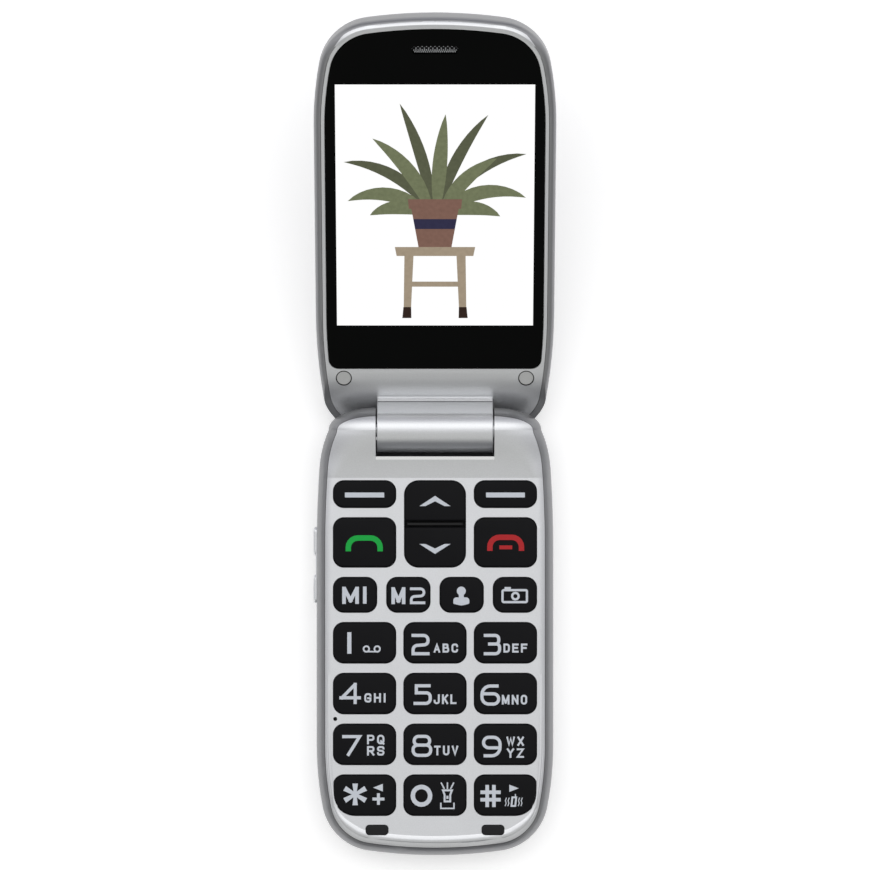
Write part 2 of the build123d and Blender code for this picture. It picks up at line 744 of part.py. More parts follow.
# ---- keypad: rubber mat with the rib between the two-way keys, and the dome sheet
with BuildPart() as keypad_mat:
    with BuildSketch(Plane((0, axis_y, mat_top - mat_thickness))):
        add(inner_outline(band_width + side_wall + part_gap, hollow_start + part_gap + seat_gap, mat_end))
        with Locations((mic_x, -mic_row)):
            Rectangle(mic_room_width, mic_room_length, mode=Mode.SUBTRACT)
    extrude(amount=mat_thickness)
    with BuildSketch(Plane.XY.offset(mat_top)):
        with Locations((0, base_y(nav_row))):
            Rectangle(nav_width - 2 * nav_inner_corner, nav_bar)
    extrude(amount=keypad_height - mat_top)
save(keypad_mat, "keypad_mat")

with BuildPart() as dome_sheet:
    with BuildSketch(Plane((0, axis_y, board_top))):
        add(inner_outline(band_width + side_wall + part_gap, hollow_start + 2 * part_gap, mat_end))
        with Locations((mic_x, -mic_row)):
            Rectangle(mic_room_width, mic_room_length, mode=Mode.SUBTRACT)
    extrude(amount=sheet_thickness)
    with BuildSketch(Plane.XY.offset(board_top + sheet_thickness)):
        for across, distance, *_ in keys.values():
            with Locations((across, base_y(distance))):
                RegularPolygon(dome_radius, 8)
    extrude(amount=dome_height)
save(dome_sheet, "dome_sheet")

with BuildPart() as volume_switches:
    with BuildSketch(Plane.XY.offset(rocker_middle - switch_drop)):
        tip_x = rocker_back + switch_gap
        with Locations((tip_x + switch_tip_width + switch_width / 2, rocker_y)):
            with GridLocations(0, switch_pitch, 1, 2):
                Rectangle(switch_width, switch_length)
        with Locations((tip_x + switch_tip_width / 2, rocker_y)):
            with GridLocations(0, switch_pitch, 1, 2):
                Rectangle(switch_tip_width, switch_tip_length)
    extrude(amount=board_height - rocker_middle + switch_drop)
save(volume_switches, "volume_switches")

with BuildPart() as bumper_pads:
    with BuildSketch(Plane.XY.offset(keypad_height - bumper_depth)):
        with Locations(*bumper_places):
            RectangleRounded(
                bumper_width - seat_gap, bumper_height - seat_gap, bumper_corner - seat_gap / 2
            )
    extrude(amount=bumper_depth + bumper_proud)
    chamfer(bumper_pads.faces().group_by(Axis.Z)[-1].edges(), bumper_chamfer)
save(bumper_pads, "bumper_pads")

with BuildPart() as casing_screws:
    with BuildSketch(Plane.XY.offset(screw_seat - head_height)):
        with Locations(*near_bosses, *far_bosses):
            Circle(head_radius)
    extrude(amount=head_height)
    with BuildSketch(Plane.XY.offset(screw_seat)):
        with Locations(*near_bosses, *far_bosses):
            Circle(screw_radius - screw_play)
    extrude(amount=parting_height - screw_seat)
save(casing_screws, "casing_screws")

# ---- volume rocker: one bar with two pads, tilting on the pivot behind its middle
with BuildPart() as volume_rocker:
    rocker_plane = Plane((rocker_back, rocker_y, rocker_middle), x_dir=(0, -1, 0), z_dir=(-1, 0, 0))
    bar_height = rocker_foot - seat_gap + rocker_ridge
    with BuildSketch(rocker_plane):
        RectangleRounded(rocker_length, rocker_depth, rocker_corner)
    extrude(amount=bar_height)
    with BuildSketch(rocker_plane.offset(bar_height)):
        with GridLocations(rocker_length - rocker_pad, 0, 2, 1):
            RectangleRounded(rocker_pad, rocker_depth, rocker_corner)
    extrude(amount=rocker_proud - rocker_ridge)
    chamfer(volume_rocker.faces().group_by(Axis.X)[0].edges(), rocker_chamfer)
    with BuildSketch(Plane((rocker_back, rocker_y, rocker_middle - rocker_depth / 2))):
        Circle(rocker_pivot)
    extrude(amount=rocker_depth)
save(volume_rocker, "volume_rocker")

# ---- keycaps, each with a lip under the panel
flange_limit = inner_outline(band_width + side_wall + seat_gap, hollow_start + seat_gap)
for name, key in keys.items():
    across, distance, width, height, corners = key
    with BuildPart() as keycap:
        with BuildSketch(Plane.XY.offset(flange_top)):
            add(key_outline(key, 0))
        extrude(amount=keypad_height + key_proud - flange_top)
        chamfer(keycap.faces().sort_by(Axis.Z)[-1].edges(), key_chamfer)
        with BuildSketch(Plane((0, axis_y, flange_under))):
            with Locations((across, -distance)):
                Rectangle(width + 2 * flange_width, height + 2 * flange_width)
            add(flange_limit, mode=Mode.INTERSECT)
        extrude(amount=flange_height)
    save(keycap, name)

# ---- outer form of the lid, drawn in its own plane and cut to clear the hump and knuckles
lid_plan = Plane(origin=lid_plane.origin, x_dir=(-1, 0, 0), z_dir=lid_plane.z_dir)
wrap_end = (-wrap_reach, -sqrt(wrap_radius**2 - wrap_reach**2))
wrap_middle = (-wrap_reach / 2, -sqrt(wrap_radius**2 - wrap_reach**2 / 4))
relief = [(row[0] * hump_length, row[1] * rise - knuckle_radius - lid_gap) for row in hump_sections]
relief_start = (hump_length + 2, lid_face)


def lid_prism(inset, low, high):
    """Prism of the lid's plan between two heights of the lid's frame."""
    with BuildPart(mode=Mode.PRIVATE) as prism:
        with BuildSketch(lid_plan.offset(low)):
            add(body_outline(lid_side, inset))
        extrude(amount=high - low)
    return prism.part


def lid_room(inset, start, end, low, high):
    """Hollow in the lid between two distances from the axis."""
    with BuildPart(mode=Mode.PRIVATE) as room:
        with BuildSketch(lid_plan.offset(low)):
            add(body_outline(lid_side, inset))
            with Locations((0, -(start + end) / 2)):
                Rectangle(body_width, end - start, mode=Mode.INTERSECT)
        extrude(amount=high - low)
    return room.part


# the back curves up at the hinge end, to stay clear of the table when open
heel_shares = ((1, 0), (0.57, 0.053), (0.285, 0.333), (0, 0.733), (-0.136, 1))
heel_curve = [(heel_length * along, lid_back + heel_rise * up) for along, up in heel_shares]
toe_curve = (heel_curve[-1], (-0.193 * heel_length, lid_back + 1.28 * heel_rise), wrap_end)

with BuildPart() as lid_form:
    with BuildSketch(lid_plan.offset(lid_back)):
        add(body_outline(lid_side, 0))
    extrude(amount=lid_thickness)
    along = Axis(lid_plane.origin, lid_plane.z_dir)
    fillet(lid_form.faces().sort_by(along)[-1].edges(), lid_front_round)
    fillet(lid_form.faces().sort_by(along)[0].edges(), back_round)
    with BuildSketch(lid_side_plane):
        with BuildLine():
            Spline(relief_start, *relief[::-1], tangents=[(-1, 0), (-1, 0)])
            ThreePointArc(relief[0], wrap_middle, wrap_end)
            Polyline(
                wrap_end, (-lid_thickness, wrap_end[1]), (-lid_thickness, -lid_back),
                (relief_start[0], -lid_back), relief_start,
            )
        make_face()
    extrude(amount=body_width, both=True, mode=Mode.SUBTRACT)
    with BuildSketch(lid_side_plane):
        with BuildLine():
            Spline(*heel_curve, tangents=[(-1, 0), (-0.8, 0.6)])
            Spline(*toe_curve, tangents=[(-0.8, 0.6), (0.7, 1)])
            Polyline(
                wrap_end, (-lid_thickness, wrap_end[1]), (-lid_thickness, 2 * lid_back),
                (heel_curve[0][0], 2 * lid_back), heel_curve[0],
            )
        make_face()
    extrude(amount=body_width, both=True, mode=Mode.SUBTRACT)

# ---- lid front bezel: silver frame round the window
slot_row = half_length - slot_end_room
display_end = half_length - display_end_room
display_length = display_end - display_start
display_middle = (display_start + display_end) / 2
bezel_back = lid_face - bezel_thickness
window_seat = lid_face - window_thickness - seat_gap
display_back = window_seat - display_thickness
parting = lid_face - lid_parting
disc_places = [(side * (half_width - disc_side), disc_row) for side in (-1, 1)]


def window_outline(grow):
    """Outline of the black window in the lid's plan, grown by a gap for its seat."""
    start = window_start - grow
    with BuildSketch(mode=Mode.PRIVATE) as outline:
        add(body_outline(lid_side, window_rim - grow))
        with Locations((0, -(start + half_length) / 2)):
            Rectangle(body_width, half_length - start, mode=Mode.INTERSECT)
        fillet(outline.vertices().group_by(Axis.Y)[-1], window_corner + grow)
    return outline.sketch


with BuildPart() as lid_front_bezel:
    add(lid_form.part)
    add(lid_prism(lid_band + seam, parting, lid_face + 1), mode=Mode.INTERSECT)
    add(
        lid_room(lid_band + side_wall, lid_room_start, half_length, lid_back, bezel_back),
        mode=Mode.SUBTRACT,
    )
    with BuildSketch(lid_plan.offset(window_seat)):
        add(window_outline(seat_gap))
    extrude(amount=bezel_thickness, mode=Mode.SUBTRACT)
    with BuildSketch(lid_plane.offset(lid_back)):
        with Locations((0, display_middle)):
            Rectangle(
                display_width + 2 * (display_border + 2 * seat_gap),
                display_length + 2 * (display_border + 2 * seat_gap),
            )
        with Locations((0, slot_row)):
            SlotOverall(slot_width + 2 * (mesh_margin + seat_gap), slot_height + 2 * (mesh_margin + seat_gap))
    extrude(amount=lid_thickness, mode=Mode.SUBTRACT)
    with BuildSketch(lid_plane.offset(lid_face - disc_depth - running_gap)):
        with Locations(*disc_places):
            Circle(disc_radius)
    extrude(amount=bezel_thickness, mode=Mode.SUBTRACT)
    with BuildSketch(lid_plane.offset(lid_back)):
        with Locations(*disc_places):
            Circle(screw_radius)
    extrude(amount=lid_thickness, mode=Mode.SUBTRACT)
save(lid_front_bezel, "lid_front_bezel")

# ---- lid rear cover: grey outer shell
rear_inside = lid_back + panel_wall
camera_places = ((0, camera_row, camera_radius), (torch_offset, camera_row, torch_radius))
with BuildPart() as lid_rear_cover:
    add(lid_form.part)
    add(lid_prism(lid_band, parting, lid_face + 1), mode=Mode.SUBTRACT)
    add(
        lid_room(low_inset, lid_room_start, half_length, rear_inside, parting),
        mode=Mode.SUBTRACT,
    )
    with BuildSketch(lid_plane.offset(lid_back + lid_screw_seat)):
        with Locations(*disc_places):
            Circle(screw_radius)
    extrude(amount=lid_thickness, mode=Mode.SUBTRACT)
    with BuildSketch(lid_plane.offset(lid_back)):
        for across, row, radius in camera_places:
            with Locations((across, row)):
                Circle(radius + seat_gap)
    extrude(amount=panel_wall, mode=Mode.SUBTRACT)
save(lid_rear_cover, "lid_rear_cover")

# ---- window, display and the parts behind them
with BuildPart() as display_window:
    with BuildSketch(lid_plan.offset(window_seat + running_gap)):
        add(window_outline(0))
        with Locations((0, -slot_row)):
            SlotOverall(slot_width, slot_height, mode=Mode.SUBTRACT)
    extrude(amount=window_thickness)
save(display_window, "display_window")

with BuildPart() as earpiece_mesh:
    with BuildSketch(lid_plane.offset(window_seat - mesh_thickness)):
        with Locations((0, slot_row)):
            SlotOverall(slot_width + 2 * mesh_margin, slot_height + 2 * mesh_margin)
    extrude(amount=mesh_thickness)
save(earpiece_mesh, "earpiece_mesh")

with BuildPart() as display_panel:
    with BuildSketch(lid_plane.offset(display_back)):
        with Locations((0, display_middle)):
            Rectangle(display_width + 2 * display_border, display_length + 2 * display_border)
    extrude(amount=display_thickness)
save(display_panel, "display_panel")

board_end = slot_row - earpiece_radius - lid_board_thickness
board_under = display_back - lid_board_gap - lid_board_thickness
with BuildPart() as lid_board:
    with BuildSketch(lid_plane.offset(board_under)):
        with Locations((0, (lid_room_start + board_end) / 2)):
            Rectangle(lid_board_width, board_end - lid_room_start - 2 * part_gap)
    extrude(amount=lid_board_thickness)
save(lid_board, "lid_board")

with BuildPart() as earpiece:
    with BuildSketch(lid_plane.offset(bezel_back - earpiece_height - seat_gap)):
        with Locations((0, slot_row)):
            Circle(earpiece_radius)
    extrude(amount=earpiece_height)
    with BuildSketch(lid_plane.offset(bezel_back - seat_gap)):
        with Locations((0, slot_row)):
            Rectangle(slot_width - 2 * mesh_margin, slot_height)
    extrude(amount=mesh_margin)
save(earpiece, "earpiece")

with BuildPart() as camera_module:
    with BuildSketch(lid_plane.offset(lid_back + seat_gap + camera_depth + seat_gap)):
        with Locations((0, camera_row)):
            Circle(camera_barrel)
    extrude(amount=panel_wall)
    with BuildSketch(lid_plane.offset(rear_inside + seat_gap)):
        with Locations((0, camera_row)):
            Rectangle(camera_width, camera_width)
    extrude(amount=board_under - running_gap - rear_inside - seat_gap)
save(camera_module, "camera_module")

with BuildPart() as camera_lens:
    with BuildSketch(lid_plane.offset(lid_back + seat_gap)):
        with Locations((0, camera_row)):
            Circle(camera_radius)
    extrude(amount=camera_depth)
save(camera_lens, "camera_lens")

with BuildPart() as torch_light:
    with BuildSketch(lid_plane.offset(lid_back + seat_gap)):
        with Locations((torch_offset, camera_row)):
            Circle(torch_radius)
    extrude(amount=panel_wall)
    with BuildSketch(lid_plane.offset(rear_inside + seat_gap)):
        with Locations((torch_offset, camera_row)):
            Rectangle(torch_width, torch_width)
    extrude(amount=board_under - running_gap - rear_inside - seat_gap)
save(torch_light, "torch_light")

motor_row = slot_row - motor_to_slot
motor_middle = Vector(motor_side - half_width, motor_row, rear_inside + motor_radius + seat_gap)
motor_plane = Plane(
    origin=lid_plane.from_local_coords(motor_middle), x_dir=(0, 1, 0), z_dir=(1, 0, 0)
)
with BuildPart() as vibration_motor:
    with BuildSketch(motor_plane):
        Circle(motor_radius)
    extrude(amount=motor_length)
    with BuildSketch(motor_plane.offset(motor_length)):
        Circle(motor_shaft_radius)
    extrude(amount=motor_shaft_length)
    with BuildSketch(motor_plane.offset(motor_length + motor_shaft_length)):
        Circle(motor_weight_radius)
    extrude(amount=motor_weight_length)
save(vibration_motor, "vibration_motor")

with BuildPart() as lid_magnet:
    with BuildSketch(lid_plane.offset(rear_inside + running_gap)):
        with Locations((half_width - magnet_side, motor_row + 1)):
            Rectangle(magnet_width, magnet_length)
    extrude(amount=magnet_height)
save(lid_magnet, "lid_magnet")

with BuildPart() as screw_covers:
    with BuildSketch(lid_plane.offset(lid_face - disc_depth)):
        with Locations(*disc_places):
            Circle(disc_radius - running_gap)
    extrude(amount=disc_thickness)
save(screw_covers, "screw_covers")

with BuildPart() as lid_screws:
    screw_foot = lid_back + lid_screw_seat + seat_gap
    with BuildSketch(lid_plane.offset(screw_foot)):
        with Locations(*disc_places):
            Circle(screw_radius - screw_play)
    extrude(amount=lid_face - disc_depth - running_gap - screw_foot)
save(lid_screws, "lid_screws")

# ---- hinge: barrel with its flat fairing, pin, cam and spring cartridge
# The fairing runs from the barrel to a lip on the lid, short enough to clear the notch when shut.
lip_place = 3
lip = relief[lip_place]
lip_reach = sqrt(lip[0] ** 2 + lip[1] ** 2)
touch_angle = acos(barrel_radius / lip_reach) - asin(-lip[1] / lip_reach)
touch = (barrel_radius * cos(touch_angle), barrel_radius * sin(touch_angle))
seat_curve = [(s, w + seat_gap) for s, w in relief[lip_place - 1 : 0 : -1]]
seat_end = (0, seat_gap - wrap_radius)
with BuildPart() as hinge_barrel:
    with BuildSketch(lid_side_plane):
        Circle(barrel_radius)
        with BuildLine():
            Line(touch, lip)
            Spline(lip, *seat_curve, seat_end)
            Polyline(seat_end, (-wrap_reach + seat_gap, wrap_end[1] + 4 * seat_gap), (0, 0), touch)
        make_face()
    extrude(amount=barrel_width / 2, both=True)
    with BuildSketch(side_plane.offset(-barrel_width / 2)):
        Circle(pin_radius + running_gap)
    extrude(amount=barrel_width / 2, mode=Mode.SUBTRACT)
    with BuildSketch(side_plane.offset(-barrel_width / 4)):
        Circle(barrel_bore)
    extrude(amount=barrel_width, mode=Mode.SUBTRACT)
save(hinge_barrel, "hinge_barrel")

with BuildPart() as hinge_cartridge:
    with BuildSketch(side_plane.offset(cartridge_start)):
        Circle(barrel_bore - running_gap)
    extrude(amount=barrel_width / 2 - cartridge_start)
    with BuildSketch(side_plane.offset(barrel_width / 2 - cam_reach)):
        Circle(cam_radius + running_gap)
    extrude(amount=cam_reach, mode=Mode.SUBTRACT)
save(hinge_cartridge, "hinge_cartridge")

with BuildPart() as hinge_cam:
    with BuildSketch(side_plane.offset(barrel_width / 2 - cam_reach + seat_gap)):
        Circle(cam_radius)
    extrude(amount=cam_reach + barrel_side_gap + cam_grip - seat_gap)
save(hinge_cam, "hinge_cam")

with BuildPart() as hinge_pin:
    with BuildSketch(side_plane.offset(-notch_width / 2 - pin_grip)):
        Circle(pin_radius)
    extrude(amount=pin_grip + barrel_side_gap + barrel_width / 4 - part_gap)
save(hinge_pin, "hinge_pin")

with BuildPart() as hinge_flex:
    with BuildSketch(side_plane.offset(part_gap - barrel_width / 4)):
        Circle(barrel_bore - seat_gap)
        Circle(barrel_bore - seat_gap - mat_thickness, mode=Mode.SUBTRACT)
    extrude(amount=barrel_width / 4 + cartridge_start - 2 * part_gap)
save(hinge_flex, "hinge_flex")
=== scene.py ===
import math

import bmesh
import bpy
from mathutils import Matrix, Vector


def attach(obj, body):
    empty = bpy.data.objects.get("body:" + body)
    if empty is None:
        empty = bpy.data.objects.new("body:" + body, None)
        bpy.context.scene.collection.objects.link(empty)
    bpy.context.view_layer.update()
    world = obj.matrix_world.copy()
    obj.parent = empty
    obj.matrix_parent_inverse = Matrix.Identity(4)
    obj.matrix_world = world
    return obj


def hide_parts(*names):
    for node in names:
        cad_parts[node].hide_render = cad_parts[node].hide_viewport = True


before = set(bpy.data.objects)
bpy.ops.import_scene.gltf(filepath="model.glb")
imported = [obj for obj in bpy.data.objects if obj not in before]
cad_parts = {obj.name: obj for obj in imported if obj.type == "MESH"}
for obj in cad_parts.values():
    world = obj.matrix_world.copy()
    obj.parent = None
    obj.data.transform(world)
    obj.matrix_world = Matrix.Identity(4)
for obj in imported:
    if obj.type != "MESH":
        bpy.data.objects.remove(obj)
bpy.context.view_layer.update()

scene = bpy.context.scene
scene.view_settings.view_transform = "Standard"

# ---- camera
# A long lens straight above the base, level with its back and square to its sides.
# The hinge line is near the middle of the square frame.
MM = 0.001
HINGE_Y = 44.75 * MM              # axis of the hinge, measured from the middle of the base
PANEL_Z = 10.6 * MM               # top of the key panel
camera_height = 970 * MM          # above the key panel
camera_nearer = 1.1 * MM          # to the user than the hinge
frame_width = 192.7 * MM          # seen at the key panel
camera_data = bpy.data.cameras.new("camera")
camera_data.sensor_width = 36
camera_data.lens = camera_data.sensor_width * camera_height / frame_width
camera_data.clip_start = 0.01
camera_data.clip_end = 20
camera = bpy.data.objects.new("camera", camera_data)
camera.location = (0, HINGE_Y - camera_nearer, PANEL_Z + camera_height)
scene.collection.objects.link(camera)
scene.camera = camera


# ---- studio
# A pale table under a white tent. The tent is brightest overhead, a little past the hinge,
# and greyer towards the user and behind the lid, which the silver paint shows.
class Level:
    """One output of a finish's nodes. Sums on it add Math nodes to the same finish."""

    def __init__(self, finish, socket):
        self.finish = finish
        self.socket = socket

    def maths(self, operation, *values):
        return self.finish.node("ShaderNodeMath", {"operation": operation},
                                dict(enumerate(values)))

    def __add__(self, other):
        return self.maths("ADD", self, other)

    def __sub__(self, other):
        return self.maths("SUBTRACT", self, other)

    def __mul__(self, other):
        return self.maths("MULTIPLY", self, other)

    def __abs__(self):
        return self.maths("ABSOLUTE", self)

    def clamp(self):
        return self.finish.node("ShaderNodeClamp", {}, {0: self, 1: 0.0, 2: 1.0})

    __radd__ = __add__
    __rmul__ = __mul__


class Finish:
    """A node tree, either a material's or the world's."""

    def __init__(self, owner):
        owner.use_nodes = True
        self.owner = owner
        self.tree = owner.node_tree
        self.tree.nodes.clear()

    def node(self, kind, settings, inputs, output=0):
        made = self.tree.nodes.new(kind)
        for name, value in settings.items():
            if name == "stops":
                ramp = made.color_ramp
                while len(ramp.elements) < len(value):
                    ramp.elements.new(0.5)
                for element, (place, colour) in zip(ramp.elements, value):
                    element.position = place
                    element.color = (*colour, 1) if len(colour) == 3 else colour
            else:
                setattr(made, name, value)
        for name, value in inputs.items():
            if isinstance(value, Level):
                self.tree.links.new(value.socket, made.inputs[name])
            else:
                made.inputs[name].default_value = value
        return Level(self, made.outputs[output]) if made.outputs else None

    def mix(self, factor, low, high, blend="MIX"):
        low, high = [(*c, 1) if isinstance(c, tuple) and len(c) == 3 else c for c in (low, high)]
        return self.node("ShaderNodeMix", {"data_type": "RGBA", "blend_type": blend},
                         {0: factor, 6: low, 7: high}, output=2)

    def place(self):
        return self.node("ShaderNodeTexCoord", {}, {}, output="Object")

    def axes(self, vector):
        split = self.node("ShaderNodeSeparateXYZ", {}, {0: vector}).socket.node
        return [Level(self, out) for out in split.outputs]

    def grain(self, size, detail=2.0, stretch=(1, 1, 1)):
        at = self.node("ShaderNodeMapping", {}, {0: self.place(), "Scale": stretch})
        return self.node("ShaderNodeTexNoise", {}, {0: at, "Scale": 1 / size, "Detail": detail})

    def bump(self, height, depth, strength=0.3):
        return self.node("ShaderNodeBump", {}, {"Height": height, "Distance": depth,
                                                "Strength": strength})

    def surface(self, shader):
        self.node("ShaderNodeOutputMaterial", {}, {0: shader})
        return self.owner


world = bpy.data.worlds.new("tent")
scene.world = world
tent = Finish(world)
sky_x, sky_y, sky_z = tent.axes(tent.node("ShaderNodeTexCoord", {}, {}, output="Generated"))
tent_cloth = tent.node("ShaderNodeValToRGB", {"stops": (
    (0.000, (0.17, 0.175, 0.18)), (0.006, (0.08, 0.082, 0.09)), (0.014, (0.035, 0.036, 0.042)),
    (0.050, (0.06, 0.062, 0.068)), (0.100, (0.21, 0.21, 0.205)), (0.150, (0.36, 0.36, 0.35)),
    (0.320, (0.305, 0.305, 0.297)), (0.440, (0.36, 0.36, 0.36)), (0.500, (0.43, 0.43, 0.44)),
    (0.570, (0.62, 0.62, 0.62)), (0.650, (0.90, 0.90, 0.90)), (0.775, (0.82, 0.82, 0.82)),
    (0.850, (0.38, 0.38, 0.40)), (0.930, (0.19, 0.19, 0.21)), (0.970, (0.15, 0.15, 0.17)),
    (1.000, (0.60, 0.61, 0.66)))},
    {0: sky_y * 0.5 + 0.5})
sides = tent.node("ShaderNodeValToRGB", {"stops": (
    (0.0, (1, 1, 1)), (0.38, (1, 1, 1)), (0.60, (0.78, 0.78, 0.79)), (0.96, (0.50, 0.50, 0.51)),
    (1.0, (0.56, 0.56, 0.57)))}, {0: abs(sky_x)})
tent_light = 2.1
tent.node("ShaderNodeOutputWorld", {}, {
    0: tent.node("ShaderNodeBackground", {}, {
        0: tent.mix(1.0, tent_cloth, sides, "MULTIPLY"), 1: tent_light})})

table_reach = 2.5                 # metres to each side
table_drop = 0.05 * MM            # clear of the back, so that the two faces do not fight
floor_mesh = bpy.data.meshes.new("table_top")
table = bmesh.new()
bmesh.ops.create_grid(table, x_segments=8, y_segments=8, size=table_reach)
table.to_mesh(floor_mesh)
table.free()
floor = bpy.data.objects.new("table_top", floor_mesh)
floor.location.z = -table_drop
scene.collection.objects.link(floor)
paper = Finish(bpy.data.materials.new("paper"))
seen = paper.node("ShaderNodeLightPath", {}, {}, output="Is Camera Ray")
mirrored = paper.node("ShaderNodeLightPath", {}, {}, output="Is Glossy Ray")
through = paper.node("ShaderNodeLightPath", {}, {}, output="Is Transmission Ray")
paper_lift = 0.4                  # glow that takes the paper to white where it is seen
lifted = (seen + mirrored + through).clamp() * paper_lift
paper_glow = paper.node("ShaderNodeEmission", {}, {0: (1, 1, 1, 1), 1: lifted})
paper_base = paper.node("ShaderNodeBsdfDiffuse", {}, {0: (0.84, 0.84, 0.84, 1)})
floor_mesh.materials.append(paper.surface(
    paper.node("ShaderNodeAddShader", {}, {0: paper_glow, 1: paper_base})))


# ---- front casing
# Moulded plastic in silver metallic paint: the key panel, the raised ramp and the two knuckles.
# Fine flakes sparkle in the paint, and a satin clear coat lies over them.
def paint_finish(name, base, flake, roughness, coat, metallic=0.85):
    finish = Finish(bpy.data.materials.new(name))
    speckle = finish.grain(0.22 * MM, 3.0)
    cloud = finish.grain(9 * MM, 2.0)
    shade = ((speckle - 0.5) * flake + 1.0) * ((cloud - 0.5) * 0.05 + 1.0)
    colour = finish.mix(1.0, base, finish.node("ShaderNodeCombineColor", {},
                        {0: shade, 1: shade, 2: shade}), "MULTIPLY")
    return finish.surface(finish.node("ShaderNodeBsdfPrincipled", {}, {
        "Base Color": colour, "Metallic": metallic,
        "Roughness": (cloud - 0.5) * 0.06 + roughness,
        "Coat Weight": coat, "Coat Roughness": 0.16,
        "Normal": finish.bump(speckle, 0.008 * MM, 0.25)}))


def dress(node, material):
    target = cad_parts[node]
    target.data.materials.clear()
    target.data.materials.append(material)


silver_paint = paint_finish("silver_paint", (0.665, 0.675, 0.69), 0.20, 0.33, 0.15)
dress("front_casing", silver_paint)

# ---- rear casing and battery cover
# The lower shell, moulded in a darker grey and painted satin like the front. Its edge shows
# as a band all round the silver panel; the battery cover clips into its back.
grey_paint = paint_finish("grey_paint", (0.27, 0.272, 0.28), 0.14, 0.36, 0.10)
for shell in ("rear_casing", "battery_cover"):
    dress(shell, grey_paint)

# ---- volume rocker
# One moulded bar with two pads on the left side, in the same silver paint as the front.
dress("volume_rocker", silver_paint)


# ---- keycaps
# Black moulded caps that stand a little above the panel, with softly rounded edges and a fine
# satin texture. Each one is a ring of outlines drawn in from the foot to the flat top.
KEY_TOP = 10.95
KEY_FOOT = 8.6
KEY_ROUND = 0.42
COLUMN = 15.6                     # from one column of keys to the next
KEY_WIDTH = 13.75
even = (2.3, 2.3, 2.3, 2.3)       # radii of the four corners


def rounded_outline(width, height, corners, inset=0.0, steps=7):
    """Outline of a rounded oblong; its corners run clockwise from the upper left."""
    quarters = ((1, 1, 0, 1), (-1, 1, 90, 0), (-1, -1, 180, 3), (1, -1, 270, 2))
    points = []
    for side_x, side_y, start, place in quarters:
        radius = max(corners[place] - inset, 0.05)
        centre_x = side_x * (width / 2 - inset - radius)
        centre_y = side_y * (height / 2 - inset - radius)
        for step in range(steps + 1):
            turn = math.radians(start + 90 * step / steps)
            points.append((centre_x + radius * math.cos(turn), centre_y + radius * math.sin(turn)))
    return points


def skin(made, rings, foot=True, top=True):
    """Faces between rings of points, with a lid on either end."""
    loops = [[made.verts.new(point) for point in ring] for ring in rings]
    for low, high in zip(loops, loops[1:]):
        for here in range(len(low)):
            there = (here + 1) % len(low)
            made.faces.new((low[here], low[there], high[there], high[here]))
    if foot:
        made.faces.new(loops[0][::-1])
    if top:
        made.faces.new(loops[-1])


def cap_rings(centre, outline, foot, top, rounding, steps=5):
    """Rings of a cap from its foot, up its side and over the rounded edge."""
    levels = [(0, foot)]
    for step in range(steps + 1):
        turn = math.pi / 2 * step / steps
        levels.append((rounding * (1 - math.cos(turn)), top - rounding * (1 - math.sin(turn))))
    return [[((centre[0] + x) * MM, (centre[1] + y) * MM, z * MM) for x, y in outline(inset)]
            for inset, z in levels]


def piece(name, made, material, sharp=50):
    """A finished mesh as an object, smooth but for its sharp edges."""
    mesh = bpy.data.meshes.new(name)
    bmesh.ops.recalc_face_normals(made, faces=made.faces)
    made.to_mesh(mesh)
    made.free()
    for face in mesh.polygons:
        face.use_smooth = True
    mesh.set_sharp_from_angle(angle=math.radians(sharp))
    mesh.materials.append(material)
    thing = bpy.data.objects.new(name, mesh)
    scene.collection.objects.link(thing)
    return thing


cap_finish = Finish(bpy.data.materials.new("key_black"))
satin = cap_finish.grain(0.12 * MM, 2.0)
wear = cap_finish.grain(5 * MM, 3.0)
key_black = cap_finish.surface(cap_finish.node("ShaderNodeBsdfPrincipled", {}, {
    "Base Color": cap_finish.mix(wear, (0.0045, 0.0045, 0.0055), (0.0065, 0.0065, 0.0075)),
    "Roughness": (satin - 0.5) * 0.08 + (wear - 0.5) * 0.08 + 0.42, "Specular IOR Level": 0.08,
    "Normal": cap_finish.bump(satin, 0.006 * MM, 0.3)}))

# across the panel, distance from the hinge, width, height and corners of each key
key_places = {
    "soft_key_left": (-COLUMN, 14.2, KEY_WIDTH, 5.9, even),
    "soft_key_right": (COLUMN, 14.2, KEY_WIDTH, 5.9, even),
    "nav_key_up": (0, 15.675, 13.45, 8.85, (3.1, 3.1, 0.6, 0.6)),
    "nav_key_down": (0, 25.925, 13.45, 8.85, (0.6, 0.6, 3.1, 3.1)),
    "call_key": (-COLUMN, 24.9, KEY_WIDTH, 10.9, even),
    "end_key": (COLUMN, 24.9, KEY_WIDTH, 10.9, even),
}
SHORT_COLUMN = 11.8               # the same for the row of four short keys
for place, name in enumerate(("memory_key_1", "memory_key_2", "contacts_key", "camera_key")):
    key_places[name] = ((place - 1.5) * SHORT_COLUMN, 36.5, 9.55, 7.7, even)
DIGIT_ROW, ROW_PITCH, DIGIT_HEIGHT = 47.125, 11.25, 8.95
outer_corners = {"star": (2.3, 2.3, 2.3, 4.8), "hash": (2.3, 2.3, 4.8, 2.3)}
for place, name in enumerate(("1", "2", "3", "4", "5", "6", "7", "8", "9", "star", "0", "hash")):
    key_places["key_" + name] = ((place % 3 - 1) * COLUMN, DIGIT_ROW + place // 3 * ROW_PITCH,
                                 KEY_WIDTH, DIGIT_HEIGHT, outer_corners.get(name, even))

